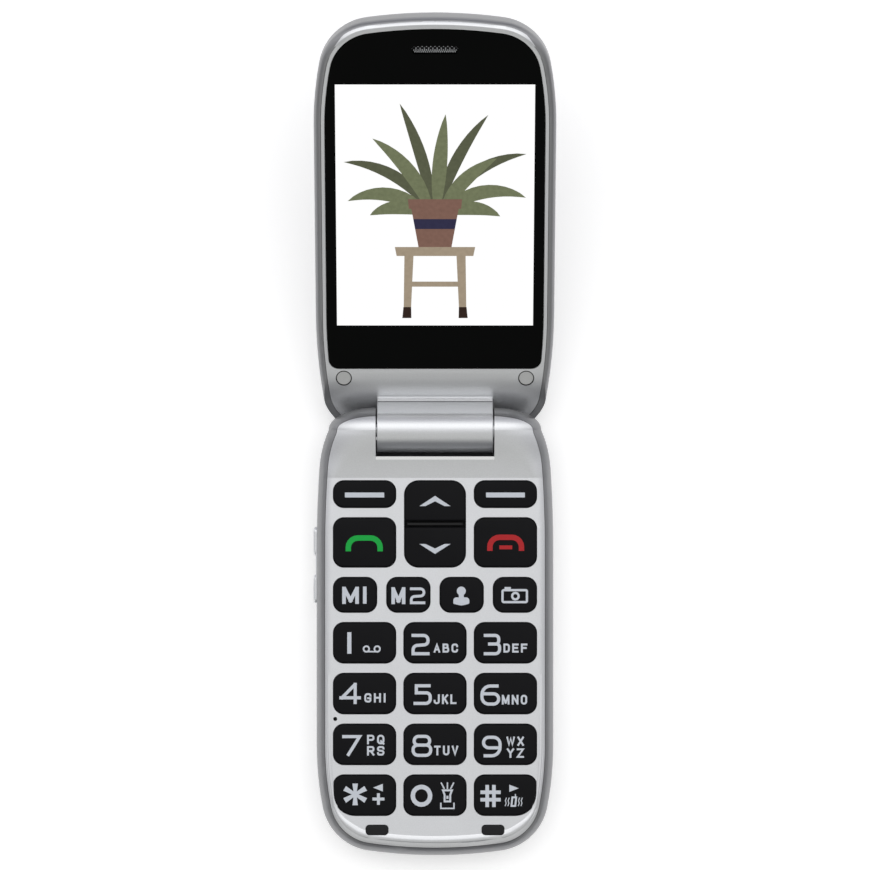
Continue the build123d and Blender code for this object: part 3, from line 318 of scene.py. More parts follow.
for name, (across, distance, width, height, corners) in key_places.items():
    made = bmesh.new()
    centre = (across, HINGE_Y / MM - distance)
    skin(made, cap_rings(centre, lambda inset: rounded_outline(width, height, corners, inset),
                         KEY_FOOT, KEY_TOP, KEY_ROUND))
    cap = piece("cap_" + name, made, key_black)
    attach(cap, name)
    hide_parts(name)


# ---- legends on the keys
# Pale grey ink, pad-printed on the caps, with green on the call key and red on the end key.
# Every sign is laid as flat strokes of even width, drawn in a box on its key.
def ink(name, colour):
    finish = Finish(bpy.data.materials.new(name))
    press = finish.grain(0.5 * MM, 3.0)
    dark = tuple(part * 0.9 for part in colour)
    return finish.surface(finish.node("ShaderNodeBsdfPrincipled", {}, {
        "Base Color": finish.mix(press, dark, colour), "Roughness": (press - 0.5) * 0.1 + 0.5,
        "Specular IOR Level": 0.2}))


INK_LIFT = 0.012                  # of the ink over the cap
INK_STEP = 0.0006                 # of each stroke over the one before
pale_ink = ink("pale_ink", (0.62, 0.655, 0.71))
green_ink = ink("green_ink", (0.006, 0.40, 0.055))
red_ink = ink("red_ink", (0.45, 0.018, 0.022))


def bent(points, closed=False, steps=5):
    """A run of points with its corners rounded; a third number is a corner's radius."""
    out = []
    count = len(points)
    for here, point in enumerate(points):
        at = Vector(point[:2])
        radius = point[2] if len(point) > 2 else 0
        if not radius or (not closed and here in (0, count - 1)):
            out.append(at)
            continue
        back = Vector(points[here - 1][:2]) - at
        ahead = Vector(points[(here + 1) % count][:2]) - at
        half = back.angle(ahead) / 2
        # a rounding takes up to half of the run to the next corner, or most of an open end's run
        rooms = [way.length * (0.499 if closed or end not in (0, count - 1) else 0.9)
                 for way, end in ((back, here - 1), (ahead, here + 1))]
        cut = min(radius / math.tan(half), *rooms)
        start, end = at + back.normalized() * cut, at + ahead.normalized() * cut
        for step in range(steps + 1):
            share = step / steps
            pull = 2 * share * (1 - share) * math.sin(half)
            low, high = (1 - share) ** 2, share ** 2
            out.append((start * low + at * pull + end * high) / (low + pull + high))
    return out


def stroke(points, width, closed=False):
    """Flat quads along a run of points, mitred where it turns, with square ends."""
    points = bent(points, closed)
    if not closed:
        first, last = points[0] - points[1], points[-1] - points[-2]
        points[0] = points[0] + first.normalized() * width / 2
        points[-1] = points[-1] + last.normalized() * width / 2
    count = len(points)
    sides = []
    for here, at in enumerate(points):
        before = points[here - 1] if closed or here else None
        after = points[(here + 1) % count] if closed or here < count - 1 else None
        ways = [(b - a).normalized() for a, b in ((before, at), (at, after)) if a and b
                and (b - a).length > 1e-6]
        way = sum(ways, Vector((0, 0))).normalized()
        normal = Vector((-way.y, way.x))
        stretch = 1 / max(abs(way.dot(ways[0])), 0.5) if len(ways) == 2 else 1
        sides.append((at + normal * width / 2 * stretch, at - normal * width / 2 * stretch))
    pairs = list(zip(sides, sides[1:] + sides[:1])) if closed else list(zip(sides, sides[1:]))
    return [(a[0], a[1], b[1], b[0]) for a, b in pairs]


def disc(centre, radius, steps=20):
    return [[(centre[0] + radius * math.cos(2 * math.pi * step / steps),
              centre[1] + radius * math.sin(2 * math.pi * step / steps)) for step in range(steps)]]


def ring(centre, radius, width, steps=16):
    return stroke([(centre[0] + radius * math.cos(2 * math.pi * step / steps),
                    centre[1] + radius * math.sin(2 * math.pi * step / steps))
                   for step in range(steps)], width, True)


# Each sign as strokes in a unit box. A third number rounds that corner, as a share of the box's
# shorter side, and a closed stroke starts with "loop".
LETTERS = {
    "0": (("loop", (0, 0, .5), (1, 0, .5), (1, 1, .5), (0, 1, .5)),),
    "2": (((0, 1), (1, 1, .3), (1, .5, .26), (0, .44, .3), (0, 0), (1, 0)),),
    "3": (((0, 1), (.94, 1, .25), (.94, .53, .22), (.3, .53)),
          ((.3, .53), (1, .53, .22), (1, 0, .3), (0, 0))),
    "4": (((.76, 0), (.76, 1)), ((.72, .97), (0, .26)), ((-.06, .26), (1, .26))),
    "5": (((.92, 1), (.08, 1), (.08, .6), (1, .6, .26), (1, 0, .3), (0, 0)),),
    "6": (((.9, 1), (0, 1, .5), (0, 0, .4), (1, 0, .4), (1, .57, .36), (.02, .57)),),
    "7": (((0, 1), (1, 1), (.3, 0)),),
    "8": (("loop", (.06, 1, .25), (.94, 1, .25), (.94, .54, .22), (.06, .54, .22)),
          ("loop", (0, .54, .25), (1, .54, .25), (1, 0, .28), (0, 0, .28))),
    "9": (((.1, 0), (1, 0, .5), (1, 1, .4), (0, 1, .4), (0, .43, .36), (.98, .43)),),
    "#": (((.3, 0), (.3, 1)), ((.7, 0), (.7, 1)), ((0, .7), (1, .7)), ((0, .3), (1, .3))),
    "A": (((0, 0), (.5, 1), (1, 0)), ((.2, .3), (.8, .3))),
    "B": (((0, 0), (0, 1), (.85, 1, .2), (.85, .53, .2), (0, .53)),
          ((0, .53), (1, .53, .25), (1, 0, .25), (0, 0))),
    "C": (((1, .76), (1, 1, .4), (0, 1, .4), (0, 0, .4), (1, 0, .4), (1, .24)),),
    "D": (((0, 0), (0, 1), (1, 1, .45), (1, 0, .45), (0, 0)),),
    "E": (((1, 1), (0, 1), (0, 0), (1, 0)), ((0, .52), (.85, .52))),
    "F": (((1, 1), (0, 1), (0, 0)), ((0, .52), (.85, .52))),
    "G": (((1, .8), (1, 1, .4), (0, 1, .4), (0, 0, .4), (1, 0, .3), (1, .45), (.55, .45)),),
    "H": (((0, 0), (0, 1)), ((1, 0), (1, 1)), ((0, .52), (1, .52))),
    "I": (((.5, 0), (.5, 1)),),
    "J": (((1, 1), (1, 0, .4), (0, 0, .4), (0, .3)),),
    "K": (((0, 0), (0, 1)), ((1, 1), (.05, .4)), ((.35, .6), (1, 0))),
    "L": (((0, 1), (0, 0), (1, 0)),),
    "M": (((0, 0), (0, 1)), ((1, 0), (1, 1)), ((.05, .95), (.5, .12)), ((.5, .12), (.95, .95))),
    "N": (((0, 0), (0, 1)), ((1, 0), (1, 1)), ((.05, .93), (.95, .07))),
    "O": (("loop", (0, 0, .45), (1, 0, .45), (1, 1, .45), (0, 1, .45)),),
    "P": (((0, 0), (0, 1), (1, 1, .3), (1, .45, .3), (0, .45)),),
    "Q": (("loop", (0, 0, .45), (1, 0, .45), (1, 1, .45), (0, 1, .45)), ((.55, .3), (1, -.05))),
    "R": (((0, 0), (0, 1), (1, 1, .3), (1, .47, .3), (0, .47)), ((.5, .47), (1, 0))),
    "S": (((1, .8), (1, 1, .35), (0, 1, .35), (0, .54, .3), (1, .48, .3), (1, 0, .35),
           (0, 0, .35), (0, .2)),),
    "T": (((0, 1), (1, 1)), ((.5, 1), (.5, 0))),
    "U": (((0, 1), (0, 0, .45), (1, 0, .45), (1, 1)),),
    "V": (((0, 1), (.5, 0), (1, 1)),),
    "W": (((0, 1), (.25, 0), (.5, .9), (.75, 0), (1, 1)),),
    "X": (((0, 0), (1, 1)), ((0, 1), (1, 0))),
    "Y": (((0, 1), (.5, .48), (1, 1)), ((.5, .48), (.5, 0))),
    "Z": (((0, 1), (1, 1), (0, 0), (1, 0)),),
}
LETTER_WIDTHS = {"I": 0.32, "M": 1.2, "W": 1.3, "N": 1.05}
LETTER_GAP = 0.36                 # as a share of a plain letter's width


def word(text, box, width):
    """Strokes of a word that fills a box, its letters as wide as their kind."""
    left, low, right, high = box
    widths = [LETTER_WIDTHS.get(letter, 1.0) for letter in text]
    unit = (right - left) / (sum(widths) + LETTER_GAP * (len(text) - 1))
    shapes = []
    for letter, share in zip(text, widths):
        inner, tall = share * unit - width, high - low - width
        for run in LETTERS[letter]:
            closed = run[0] == "loop"
            drawn = [(left + width / 2 + p[0] * inner, low + width / 2 + p[1] * tall,
                      *(r * min(inner, tall) for r in p[2:])) for p in (run[1:] if closed else run)]
            shapes += stroke(drawn, width, closed)
        left += (share + LETTER_GAP) * unit
    return shapes


def arch(box, width, rounding=2.1):
    """A handset seen from its side: a wide arch of even width."""
    left, low, right, high = box
    half = width / 2
    return stroke([(left + half, low + half), (left + half, high - half, rounding),
                   (right - half, high - half, rounding), (right - half, low + half)], width)


def bar(box):
    left, low, right, high = box
    return [[(left, low), (right, low), (right, high), (left, high)]]


def chevron(box, width, up):
    left, low, right, high = box
    foot, tip = (low, high) if up else (high, low)
    drop = -width if up else width
    middle = (left + right) / 2
    return [[(left, foot), (left + width * 1.1, foot), (middle, tip + drop), (middle, tip)],
            [(middle, tip), (middle, tip + drop), (right - width * 1.1, foot), (right, foot)]]


def person(box):
    left, low, right, high = box
    middle = (left + right) / 2
    body = bent([(left, low + 0.35, 0.3), (left, low + 1.75, 0.9), (right, low + 1.75, 0.9),
                 (right, low + 0.35, 0.3), (middle, low - 0.1, 2.0)], True)
    return disc((middle, high - 1.0), 1.0) + [[tuple(point) for point in body]] + bar(
        (middle - 0.55, low + 1.6, middle + 0.55, high - 1.2))


def camera_sign(box):
    left, low, right, high = box
    top = high - 0.45
    middle = ((left + right) / 2 + 0.15, (low + top) / 2)
    return stroke([(left + .25, low + .25, .3), (right - .25, low + .25, .3),
                   (right - .25, top - .25, .3), (left + .25, top - .25, .3)], 0.5,
                  True) + ring(middle, 0.72, 0.5) + bar(
        (left + 0.7, top - 0.1, left + 2.1, high))


def star(box):
    left, low, right, high = box
    middle = Vector(((left + right) / 2, (low + high) / 2))
    shapes = []
    for arm in range(6):
        way = Vector((math.sin(math.radians(60 * arm)), math.cos(math.radians(60 * arm))))
        side = Vector((-way.y, way.x))
        reach = (high - low) / 2 if arm % 3 == 0 else (right - left) / math.sqrt(3)
        shapes.append([tuple(middle + side * 0.3), tuple(middle - side * 0.3),
                       tuple(middle + way * reach - side * 0.6),
                       tuple(middle + way * reach + side * 0.6)])
    return shapes


def torch_sign(box):
    left, low, right, high = box
    middle = (left + right) / 2
    shapes = stroke([(left + .1, low + 1.3), (left + .1, low + .2), (right - .1, low + .2),
                     (right - .1, low + 1.3)], 0.32)
    shapes += stroke([(middle - .62, low + 1.75), (middle + .62, low + 1.75),
                      (middle + .62, low + 3.2), (middle + 1.0, low + 4.2),
                      (middle - 1.0, low + 4.2), (middle - .62, low + 3.2)], 0.42, True)
    shapes += bar((middle - .24, low + 2.3, middle + .24, low + 3.0))
    for lean in (-1, 0, 1):
        shapes += stroke([(middle + lean * .75, low + 4.65), (middle + lean * 1.35, high)], 0.3)
    return shapes


def ringing_sign(box):
    left, low, right, high = box
    middle = (left + right) / 2
    body = stroke([(middle - .5, low + .15), (middle + .35, low + .15), (middle + .55, high - .75),
                   (middle - .3, high - .75)], 0.4, True)
    for side in (-1, 1):
        for step in (1.15, 1.75):
            at = middle + side * step
            body += stroke([(at - .12, low + .2), (at + .08, low + .75), (at - .08, low + 1.3),
                            (at + .12, low + 1.9)], 0.2)
    return body + bar((middle + .25, high - .8, middle + .5, high))


def print_on(key, shapes, colour):
    across, distance = key_places[key][:2]
    made = bmesh.new()
    for layer, shape in enumerate(shapes):
        top = KEY_TOP + INK_LIFT + layer * INK_STEP
        made.faces.new([made.verts.new(((across + x) * MM, HINGE_Y + (y - distance) * MM,
                                        top * MM)) for x, y in shape])
    legend = piece("legend_" + key, made, colour)
    for face in legend.data.polygons:
        if face.normal.z < 0:
            face.flip()
    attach(legend, key)


print_on("soft_key_left", bar((-4.35, -0.72, 4.35, 0.36)), pale_ink)
print_on("soft_key_right", bar((-4.3, -0.72, 4.3, 0.36)), pale_ink)
print_on("nav_key_up", chevron((-3.45, -1.17, 3.45, 1.1), 1.2, True), pale_ink)
print_on("nav_key_down", chevron((-3.45, -1.5, 3.45, 0.7), 1.2, False), pale_ink)
print_on("call_key", arch((-4.2, -1.95, 4.05, 1.6), 1.2), green_ink)
print_on("end_key", arch((-4.05, -1.85, 4.15, 1.75), 1.2)
         + bar((-1.35, -1.5, 1.5, -0.65)), red_ink)
print_on("memory_key_1", word("M", (-2.85, -2.0, 0.85, 1.8), 0.82)
         + bar((1.75, -1.95, 2.55, 1.85)), pale_ink)
print_on("memory_key_2", word("M", (-3.75, -2.05, -0.65, 1.7), 0.78)
         + word("2", (0.35, -2.05, 3.75, 1.65), 0.6), pale_ink)
print_on("contacts_key", person((-1.85, -2.3, 1.7, 1.85)), pale_ink)
print_on("camera_key", camera_sign((-3.0, -1.85, 2.9, 1.75)), pale_ink)
print_on("key_1", bar((-3.83, -2.4, -2.92, 2.36)) + ring((0.4, -1.35), 0.62, 0.36)
         + ring((2.8, -1.35), 0.62, 0.36) + bar((0.4, -2.1, 2.8, -1.78)), pale_ink)
DIGIT, LETTER = 0.7, 0.42         # widths of the strokes
key_words = (
    ("key_2", "2", (-5.2, -2.75, -1.2, 2.0), "ABC", (-0.3, -2.15, 5.1, -0.15)),
    ("key_3", "3", (-4.8, -2.75, -0.95, 2.0), "DEF", (-0.45, -2.15, 4.85, -0.15)),
    ("key_4", "4", (-5.35, -2.3, -0.8, 2.4), "GHI", (-0.05, -1.95, 4.7, 0.1)),
    ("key_5", "5", (-4.75, -2.5, -0.7, 2.1), "JKL", (-0.3, -2.3, 4.75, -0.15)),
    ("key_6", "6", (-5.55, -2.65, -1.15, 2.05), "MNO", (-0.8, -2.4, 4.8, -0.25)),
    ("key_8", "8", (-5.2, -2.75, -0.6, 2.15), "TUV", (-0.2, -2.4, 5.15, -0.25)),
)
for key, digit, digit_box, letters, letter_box in key_words:
    print_on(key, word(digit, digit_box, DIGIT) + word(letters, letter_box, LETTER), pale_ink)
print_on("key_7", word("7", (-4.95, -2.55, -0.75, 2.1), DIGIT)
         + word("PQ", (0.55, 0.05, 4.4, 2.15), LETTER)
         + word("RS", (0.55, -2.45, 4.4, -0.35), LETTER), pale_ink)
print_on("key_9", word("9", (-5.2, -2.85, -0.85, 1.95), DIGIT)
         + word("WX", (0.2, -0.3, 4.1, 1.75), LETTER)
         + word("YZ", (0.3, -2.95, 4.1, -0.85), LETTER), pale_ink)
print_on("key_star", star((-4.4, -2.2, 0.25, 2.6)) + [[(1.9, 1.7), (4.05, 0.85), (4.05, 2.55)]]
         + bar((1.75, -1.15, 4.4, -0.5)) + bar((2.75, -2.1, 3.4, -1.15))
         + bar((2.75, -0.5, 3.4, 0.45)), pale_ink)
print_on("key_0", word("0", (-5.4, -2.55, -0.6, 2.35), 0.98)
         + torch_sign((1.2, -3.1, 4.3, 2.7)), pale_ink)
print_on("key_hash", word("#", (-5.55, -2.6, -1.05, 2.3), 0.8)
         + [[(0.85, 0.75), (2.95, 1.55), (0.85, 2.35)]]
         + ringing_sign((-0.2, -2.5, 3.85, 0.3)), pale_ink)

# ---- bumper pads
# Two black rubber pads, pressed into the far end of the panel, that the closed lid rests on.
rubber = Finish(bpy.data.materials.new("black_rubber"))
matt = rubber.grain(0.2 * MM, 3.0)
black_rubber = rubber.surface(rubber.node("ShaderNodeBsdfPrincipled", {}, {
    "Base Color": rubber.mix(matt, (0.006, 0.006, 0.0065), (0.010, 0.010, 0.011)),
    "Roughness": (matt - 0.5) * 0.1 + 0.6, "Specular IOR Level": 0.25,
    "Normal": rubber.bump(matt, 0.01 * MM, 0.3)}))
PAD_ACROSS, PAD_Y = 12.85, -43.85
PAD_FOOT, PAD_TOP, PAD_ROUND = 10.1, 11.0, 0.3
pads = bmesh.new()
for side in (-1, 1):
    skin(pads, cap_rings((side * PAD_ACROSS, PAD_Y),
                         lambda inset: rounded_outline(5.05, 2.3, (0.85,) * 4, inset),
                         PAD_FOOT, PAD_TOP, PAD_ROUND))
bumpers = piece("rest_pads", pads, black_rubber)
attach(bumpers, "base")
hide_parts("bumper_pads")
dress("keypad_mat", black_rubber)

# ---- raised border and notch highlight of the front casing
# A low border runs round the user's end of the panel and fades out up its sides; it is moulded
# and painted with the casing. Along the rounded edge of the notch for the barrel lies a strip of
# far brighter silver: a painted highlight where that edge catches the light.
def out(turn):
    return Vector((math.cos(math.radians(turn)), -math.sin(math.radians(turn))))


HALF_WIDTH = 26.3
SIDE_END = 70.0                   # of the straight sides, from the hinge
SEAM_INSET = 1.95                 # of the border's crest from the outside
# Half of the outline, from a side round to the middle of the user's end: points and headings.
# Its three arcs have these radii, turns in degrees and steps.
END_ARCS = ((72.29, 11, 4), (12.1, 71, 18), (106.19, 8, 6))
route = [(Vector((HALF_WIDTH, 4 * step - SIDE_END)), 0) for step in range(4, 0, -1)]
corner, turned = Vector((HALF_WIDTH, -SIDE_END)), 0
for radius, turn, steps in END_ARCS:
    centre = corner - out(turned) * radius
    route += [(centre + out(turned + turn * step / steps) * radius, turned + turn * step / steps)
              for step in range(steps + 1)]
    corner, turned = route[-1][0], turned + turn
# distance in from the outside and height over the panel
border_profile = ((2.8, -0.06), (2.6, 0.0), (2.3, 0.04), (1.95, 0.1), (1.7, 0.125),
                  (1.45, 0.1), (1.2, 0.01), (0.9, -0.16), (0.7, -0.45), (1.8, -0.8))
RISE_STEPS = 6                    # of the route, in which the border rises from the panel
START_SINK = 0.03                 # of its first section under the panel
WIDEN_FROM, WIDEN_TURN = 8, 50    # degrees of heading in which it grows from half its width
rings = []
for place, (at, turn) in enumerate(route):
    height = min(place / RISE_STEPS, 1)
    share = max(0, min(1, (turn - WIDEN_FROM) / WIDEN_TURN))
    spread = 0.5 + 0.5 * share * share * (3 - 2 * share)
    inner = [at - out(turn) * (SEAM_INSET + inset * spread) for inset, up in border_profile]
    rings.append([(point.x * MM, HINGE_Y + point.y * MM,
                   PANEL_Z + ((up if up < 0 else up * height) - START_SINK * (1 - height)) * MM)
                  for point, (inset, up) in zip(inner, border_profile)])
rings += [[(-x, y, z) for x, y, z in ring] for ring in rings[-2::-1]]
border = bmesh.new()
skin(border, rings)


def bar_of(made, section, half):
    """Faces of a bar along X, from its section in Y and Z and half of its length."""
    skin(made, [[(along * MM, y * MM, z * MM) for y, z in section] for along in (-half, half)])


# Silver far brighter than the paint, a painted highlight: strips of it lie along the notch's edge
# and the fairing's lip.
painted_highlight_silver = paint_finish("painted_highlight_silver", (0.97, 0.975, 0.985), 0.06, 0.24, 0.3)
NOTCH_HALF = 13.1
NOTCH_Y, NOTCH_TOP = 38.9, 11.62
STRIP_OVER, STRIP_UNDER = 0.02, 0.1      # a bright strip's faces, over and under the paint
# the top of the strip follows the ramp's own curve down from the notch
ramp = [(NOTCH_Y - back, NOTCH_TOP - back * (0.3035 - 0.0187 * back))
        for back in (0, 0.25, 0.5, 0.7)]
notch_edge = bmesh.new()
bar_of(notch_edge, [(y, z + STRIP_OVER) for y, z in ramp]
       + [(y, z - STRIP_UNDER) for y, z in ramp[::-1]], NOTCH_HALF)
for name, made, finish in (("panel_border", border, silver_paint),
                           ("notch_edge", notch_edge, painted_highlight_silver)):
    edge = piece(name, made, finish, 60)
    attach(edge, "base")

# ---- lid shells
# The bezel round the window is silver like the key panel, and at the far end its own edge is
# rolled. The rear cover is grey, and its rounded edge shows as a band all round the bezel.
dress("lid_front_bezel", silver_paint)
dress("lid_rear_cover", grey_paint)
dress("screw_covers", paint_finish("disc_paint", (0.56, 0.565, 0.565), 0.16, 0.38, 0.1))

# On the lid, x is across, s is the distance from the hinge's axis and w is the height over it.
HINGE_Z = 8.3 * MM
LID_LEAN = math.radians(23)
lid_place = Matrix.Translation((0, HINGE_Y, HINGE_Z)) @ Matrix.Rotation(LID_LEAN, 4, "X")
LID_FACE = -2.8
ROLL_START, ROLL_FULL = 20, 55    # headings on the route where the rolled edge rises
ROLL_SINK = 0.4                   # of its two ends under the cover
# distance in from the outside and depth under the lid's face
edge_profile = ((2.06, 0.05), (2.03, -0.14), (1.3, -0.17), (1.05, 0.0), (0.85, 0.15),
                (0.72, 0.27), (0.66, 0.45), (1.3, 0.5))
rings = []
for at, turn in route:
    if turn < ROLL_START:
        continue
    sunk = ROLL_SINK * max(0, 1 - (turn - ROLL_START) / (ROLL_FULL - ROLL_START))
    inner = [at - out(turn) * inset for inset, depth in edge_profile]
    rings.append([(point.x * MM, -point.y * MM, (LID_FACE - depth - sunk) * MM)
                  for point, (inset, depth) in zip(inner, edge_profile)])
rings += [[(-x, s, w) for x, s, w in ring] for ring in rings[-2::-1]]
rolled = bmesh.new()
skin(rolled, rings)
rolled.transform(lid_place)
bezel_edge = piece("bezel_edge", rolled, silver_paint, 25)
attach(bezel_edge, "lid")
# Thin rings in the black rubber colour lie over the gaps round the screw covers: painted shade in
# those gaps.
COVER_ACROSS, COVER_S = 20.2, 11.3
# radius and height over the lid's face
gap_shade_section = ((1.78, -0.3), (1.78, 0.012), (1.58, 0.012), (1.58, -0.3))
cover_gap_shade = bmesh.new()
for side in (-1, 1):
    skin(cover_gap_shade, [[((side * COVER_ACROSS + radius * math.cos(math.pi / 16 * step)) * MM,
                        (COVER_S + radius * math.sin(math.pi / 16 * step)) * MM,
                        (LID_FACE + height) * MM) for step in range(32)]
                      for radius, height in gap_shade_section], False, False)
ring_gap_shade = piece("cover_gap_shade", cover_gap_shade, black_rubber)
ring_gap_shade.matrix_world = lid_place
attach(ring_gap_shade, "lid")

# ---- window
# A polished black acrylic plate, printed black behind except over the display. It is so deep
# and clean that it shows almost nothing of the tent.
glass = Finish(bpy.data.materials.new("window_black"))
film = glass.grain(14 * MM, 3.0)
window_black = glass.surface(glass.node("ShaderNodeBsdfPrincipled", {}, {
    "Base Color": glass.mix(film, (0.0008, 0.001, 0.0009), (0.0016, 0.0018, 0.0018)),
    "Roughness": (film - 0.5) * 0.03 + 0.05, "Specular IOR Level": 0.04}))
dress("display_window", window_black)

# ---- picture on the display
# The lit display shows a plain picture: a leafy plant in a brown pot on a khaki stool, all on
# white. It glows through the clear middle of the window, in the plane of the window's face.
SCREEN_FACE = -2.84
LAYER_STEP, SHAPE_STEP = 0.006, 0.00005


def lit(name, colour, vary=0.25):
    finish = Finish(bpy.data.materials.new("lit_" + name))
    dots = finish.grain(0.9 * MM, 4.0)
    dark = tuple(part * (1 - vary) for part in colour)
    return finish.surface(finish.node("ShaderNodeBsdfPrincipled", {}, {
        "Base Color": (0, 0, 0, 1), "Emission Color": finish.mix(dots, dark, colour),
        "Emission Strength": 1.0, "Roughness": (dots - 0.5) * 0.02 + 0.08,
        "Specular IOR Level": 0.04}))


def screen_layer(name, shapes, material, layer):
    made = bmesh.new()
    for place, shape in enumerate(shapes):
        face = SCREEN_FACE + layer * LAYER_STEP + place * SHAPE_STEP
        made.faces.new([made.verts.new((x * MM, s * MM, face * MM)) for x, s in shape])
    shown = piece("screen_" + name, made, material)
    shown.matrix_world = lid_place
    for face in shown.data.polygons:
        if face.normal.z < 0:
            face.flip()
    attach(shown, "lid")


def leaf(root, lean, length, width, curl):
    """A pointed leaf that bends over sideways from its root."""
    spine = []
    at, way = Vector(root), math.radians(lean)
    steps = 12
    for step in range(steps + 1):
        spine.append((at.copy(), way))
        at = at + Vector((math.sin(way), math.cos(way))) * length / steps
        way += math.radians(curl) / steps
    left, right = [], []
    for step, (point, turn) in enumerate(spine):
        half = width / 2 * math.sin(math.pi * (0.06 + 0.94 * step / steps)) ** 0.8
        side = Vector((math.cos(turn), -math.sin(turn))) * half
        left.append(tuple(point - side))
        right.append(tuple(point + side))
    return [[left[i], left[i + 1], right[i + 1], right[i]] for i in range(steps)]


screen_layer("ground", bar((-21.6, 23.85, 21.6, 79.65)), lit("white", (1, 1, 1), 0.0), 0)
far_leaves = sum((leaf((x, 50.5), lean, length, 2.6, curl) for x, lean, length, curl in (
    (-1.2, -30, 23, -62), (1.2, 27, 24, 60), (-0.4, -8, 26, -18), (0.8, 12, 25, 30))), [])
near_leaves = sum((leaf((x, 50), lean, length, 3.2, curl) for x, lean, length, curl in (
    (-1.6, -46, 19, -75), (1.6, 44, 20, 75), (-0.8, -18, 22, -40), (0.4, 2, 23, 6),
    (1.4, 24, 18, 42), (-1.8, -64, 13, -60), (1.8, 66, 13, 58))), [])
screen_layer("far_leaves", far_leaves, lit("olive", (0.115, 0.125, 0.075), 0.35), 1)
screen_layer("near_leaves", near_leaves, lit("sage", (0.20, 0.225, 0.125), 0.4), 2)
screen_layer("pot", [[(-3.6, 42.2), (3.6, 42.2), (5.2, 51.4), (-5.2, 51.4)],
                     [(-5.7, 51.2), (5.7, 51.2), (5.9, 53.4), (-5.9, 53.4)]],
             lit("clay", (0.235, 0.13, 0.10), 0.3), 3)
screen_layer("pot_band", [[(-4.35, 46.5), (4.35, 46.5), (4.75, 48.8), (-4.75, 48.8)]],
             lit("navy", (0.035, 0.033, 0.075), 0.3), 4)
screen_layer("stool", [
    [(-8.4, 40.2), (8.4, 40.2), (8.8, 42.3), (-8.8, 42.3)],
    [(-6.9, 27.2), (-5.3, 27.2), (-4.7, 40.4), (-6.7, 40.4)],
    [(5.3, 27.2), (6.9, 27.2), (6.7, 40.4), (4.7, 40.4)],
    [(-6.2, 33.0), (6.2, 33.0), (6.2, 34.2), (-6.2, 34.2)]],
             lit("khaki", (0.40, 0.325, 0.235)), 3)
screen_layer("stool_feet", [[(-7.2, 25.6), (-5.2, 25.6), (-5.25, 28.2), (-6.95, 28.2)],
                            [(5.2, 25.6), (7.2, 25.6), (6.95, 28.2), (5.25, 28.2)]],
             lit("umber", (0.035, 0.02, 0.015), 0.3), 4)
display_glow = Finish(bpy.data.materials.new("display_module"))
panel_tone = display_glow.grain(3 * MM, 2.0)
dress("display_panel", display_glow.surface(display_glow.node("ShaderNodeBsdfPrincipled", {}, {
    "Base Color": display_glow.mix(panel_tone, (0.7, 0.71, 0.72), (0.78, 0.79, 0.8)),
    "Roughness": (panel_tone - 0.5) * 0.1 + 0.3})))

# ---- earpiece grille
# A strip of bright steel with pressed pips, stuck behind the slot in the window.
steel = Finish(bpy.data.materials.new("steel"))
brushed = steel.grain(0.3 * MM, 3.0, (1, 8, 8))
steel_sheet = steel.surface(steel.node("ShaderNodeBsdfPrincipled", {}, {
    "Base Color": steel.mix(brushed, (0.52, 0.53, 0.54), (0.66, 0.67, 0.68)), "Metallic": 1.0,
    "Roughness": (brushed - 0.5) * 0.15 + 0.3, "Normal": steel.bump(brushed, 0.01 * MM, 0.2)}))
GRILLE_FACE = -3.9
GRILLE_S, PIPS_S = 87.4, 87.35
grille = bmesh.new()
plate_outline = rounded_outline(11.0, 2.7, (1.3,) * 4)
skin(grille, [[(x * MM, (GRILLE_S + y) * MM, z * MM) for x, y in plate_outline]
              for z in (GRILLE_FACE - 0.45, GRILLE_FACE)])
plate = piece("grille_plate", grille, black_rubber)
# each row of pips: its place up the slot, the pitch and the shift across
pip_rows = ((0.72, 0.915, 0.0), (0.28, 0.915, 0.46), (-0.16, 0.4575, 0.0), (-0.56, 0.4575, 0.23))
# radius and height over the plate
pip_section = ((0.2, -0.02), (0.17, 0.42), (0.08, 0.5))
pips = bmesh.new()
for up_slot, pitch, shift in pip_rows:
    reach = 5.1 - 0.55 * abs(up_slot - 0.28)     # half of the slot's length at this row
    for column in range(-11, 12):
        x, y = column * pitch + shift, PIPS_S + up_slot
        if abs(x) < reach:
            skin(pips, [[((x + size * math.cos(math.pi / 4 * step)) * MM,
                          (y + size * math.sin(math.pi / 4 * step)) * MM,
                          (GRILLE_FACE + up) * MM) for step in range(8)]
                        for size, up in pip_section])
dots = piece("grille_pips", pips, steel_sheet)
for part in (plate, dots):
    part.matrix_world = lid_place
    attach(part, "lid")
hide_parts("earpiece_mesh")

# ---- hinge barrel
# The silver sleeve on the lid that fills the notch of the base, with a flat fairing that runs
# to a lip on the lid's face. Its edges and ends are slightly rounded. Across the fairing's foot lie
# a painted highlight, a strip of far brighter silver, and painted shade, a grey strip in the seam.
BARREL = 4.95                     # radius
BARREL_HALF = 12.85
BARREL_EDGE = 0.22
FAIRING_FOOT = (5.9, -3.8)
profile = [(BARREL * math.cos(math.radians(turn)), BARREL * math.sin(math.radians(turn)))
           for turn in [12.4 + 4 * step for step in range(58)]]
profile += [(-1.175, -5.26), (0, -5.4), (2.5, -4.9), (4.2, -4.3), (*FAIRING_FOOT, BARREL_EDGE)]
profile = bent(profile, True)
turned = []
for here, at in enumerate(profile):
    back, ahead = profile[here - 1], profile[(here + 1) % len(profile)]
    way = ((at - back).normalized() + (ahead - at).normalized()).normalized()
    turned.append((at, Vector((way.y, -way.x))))
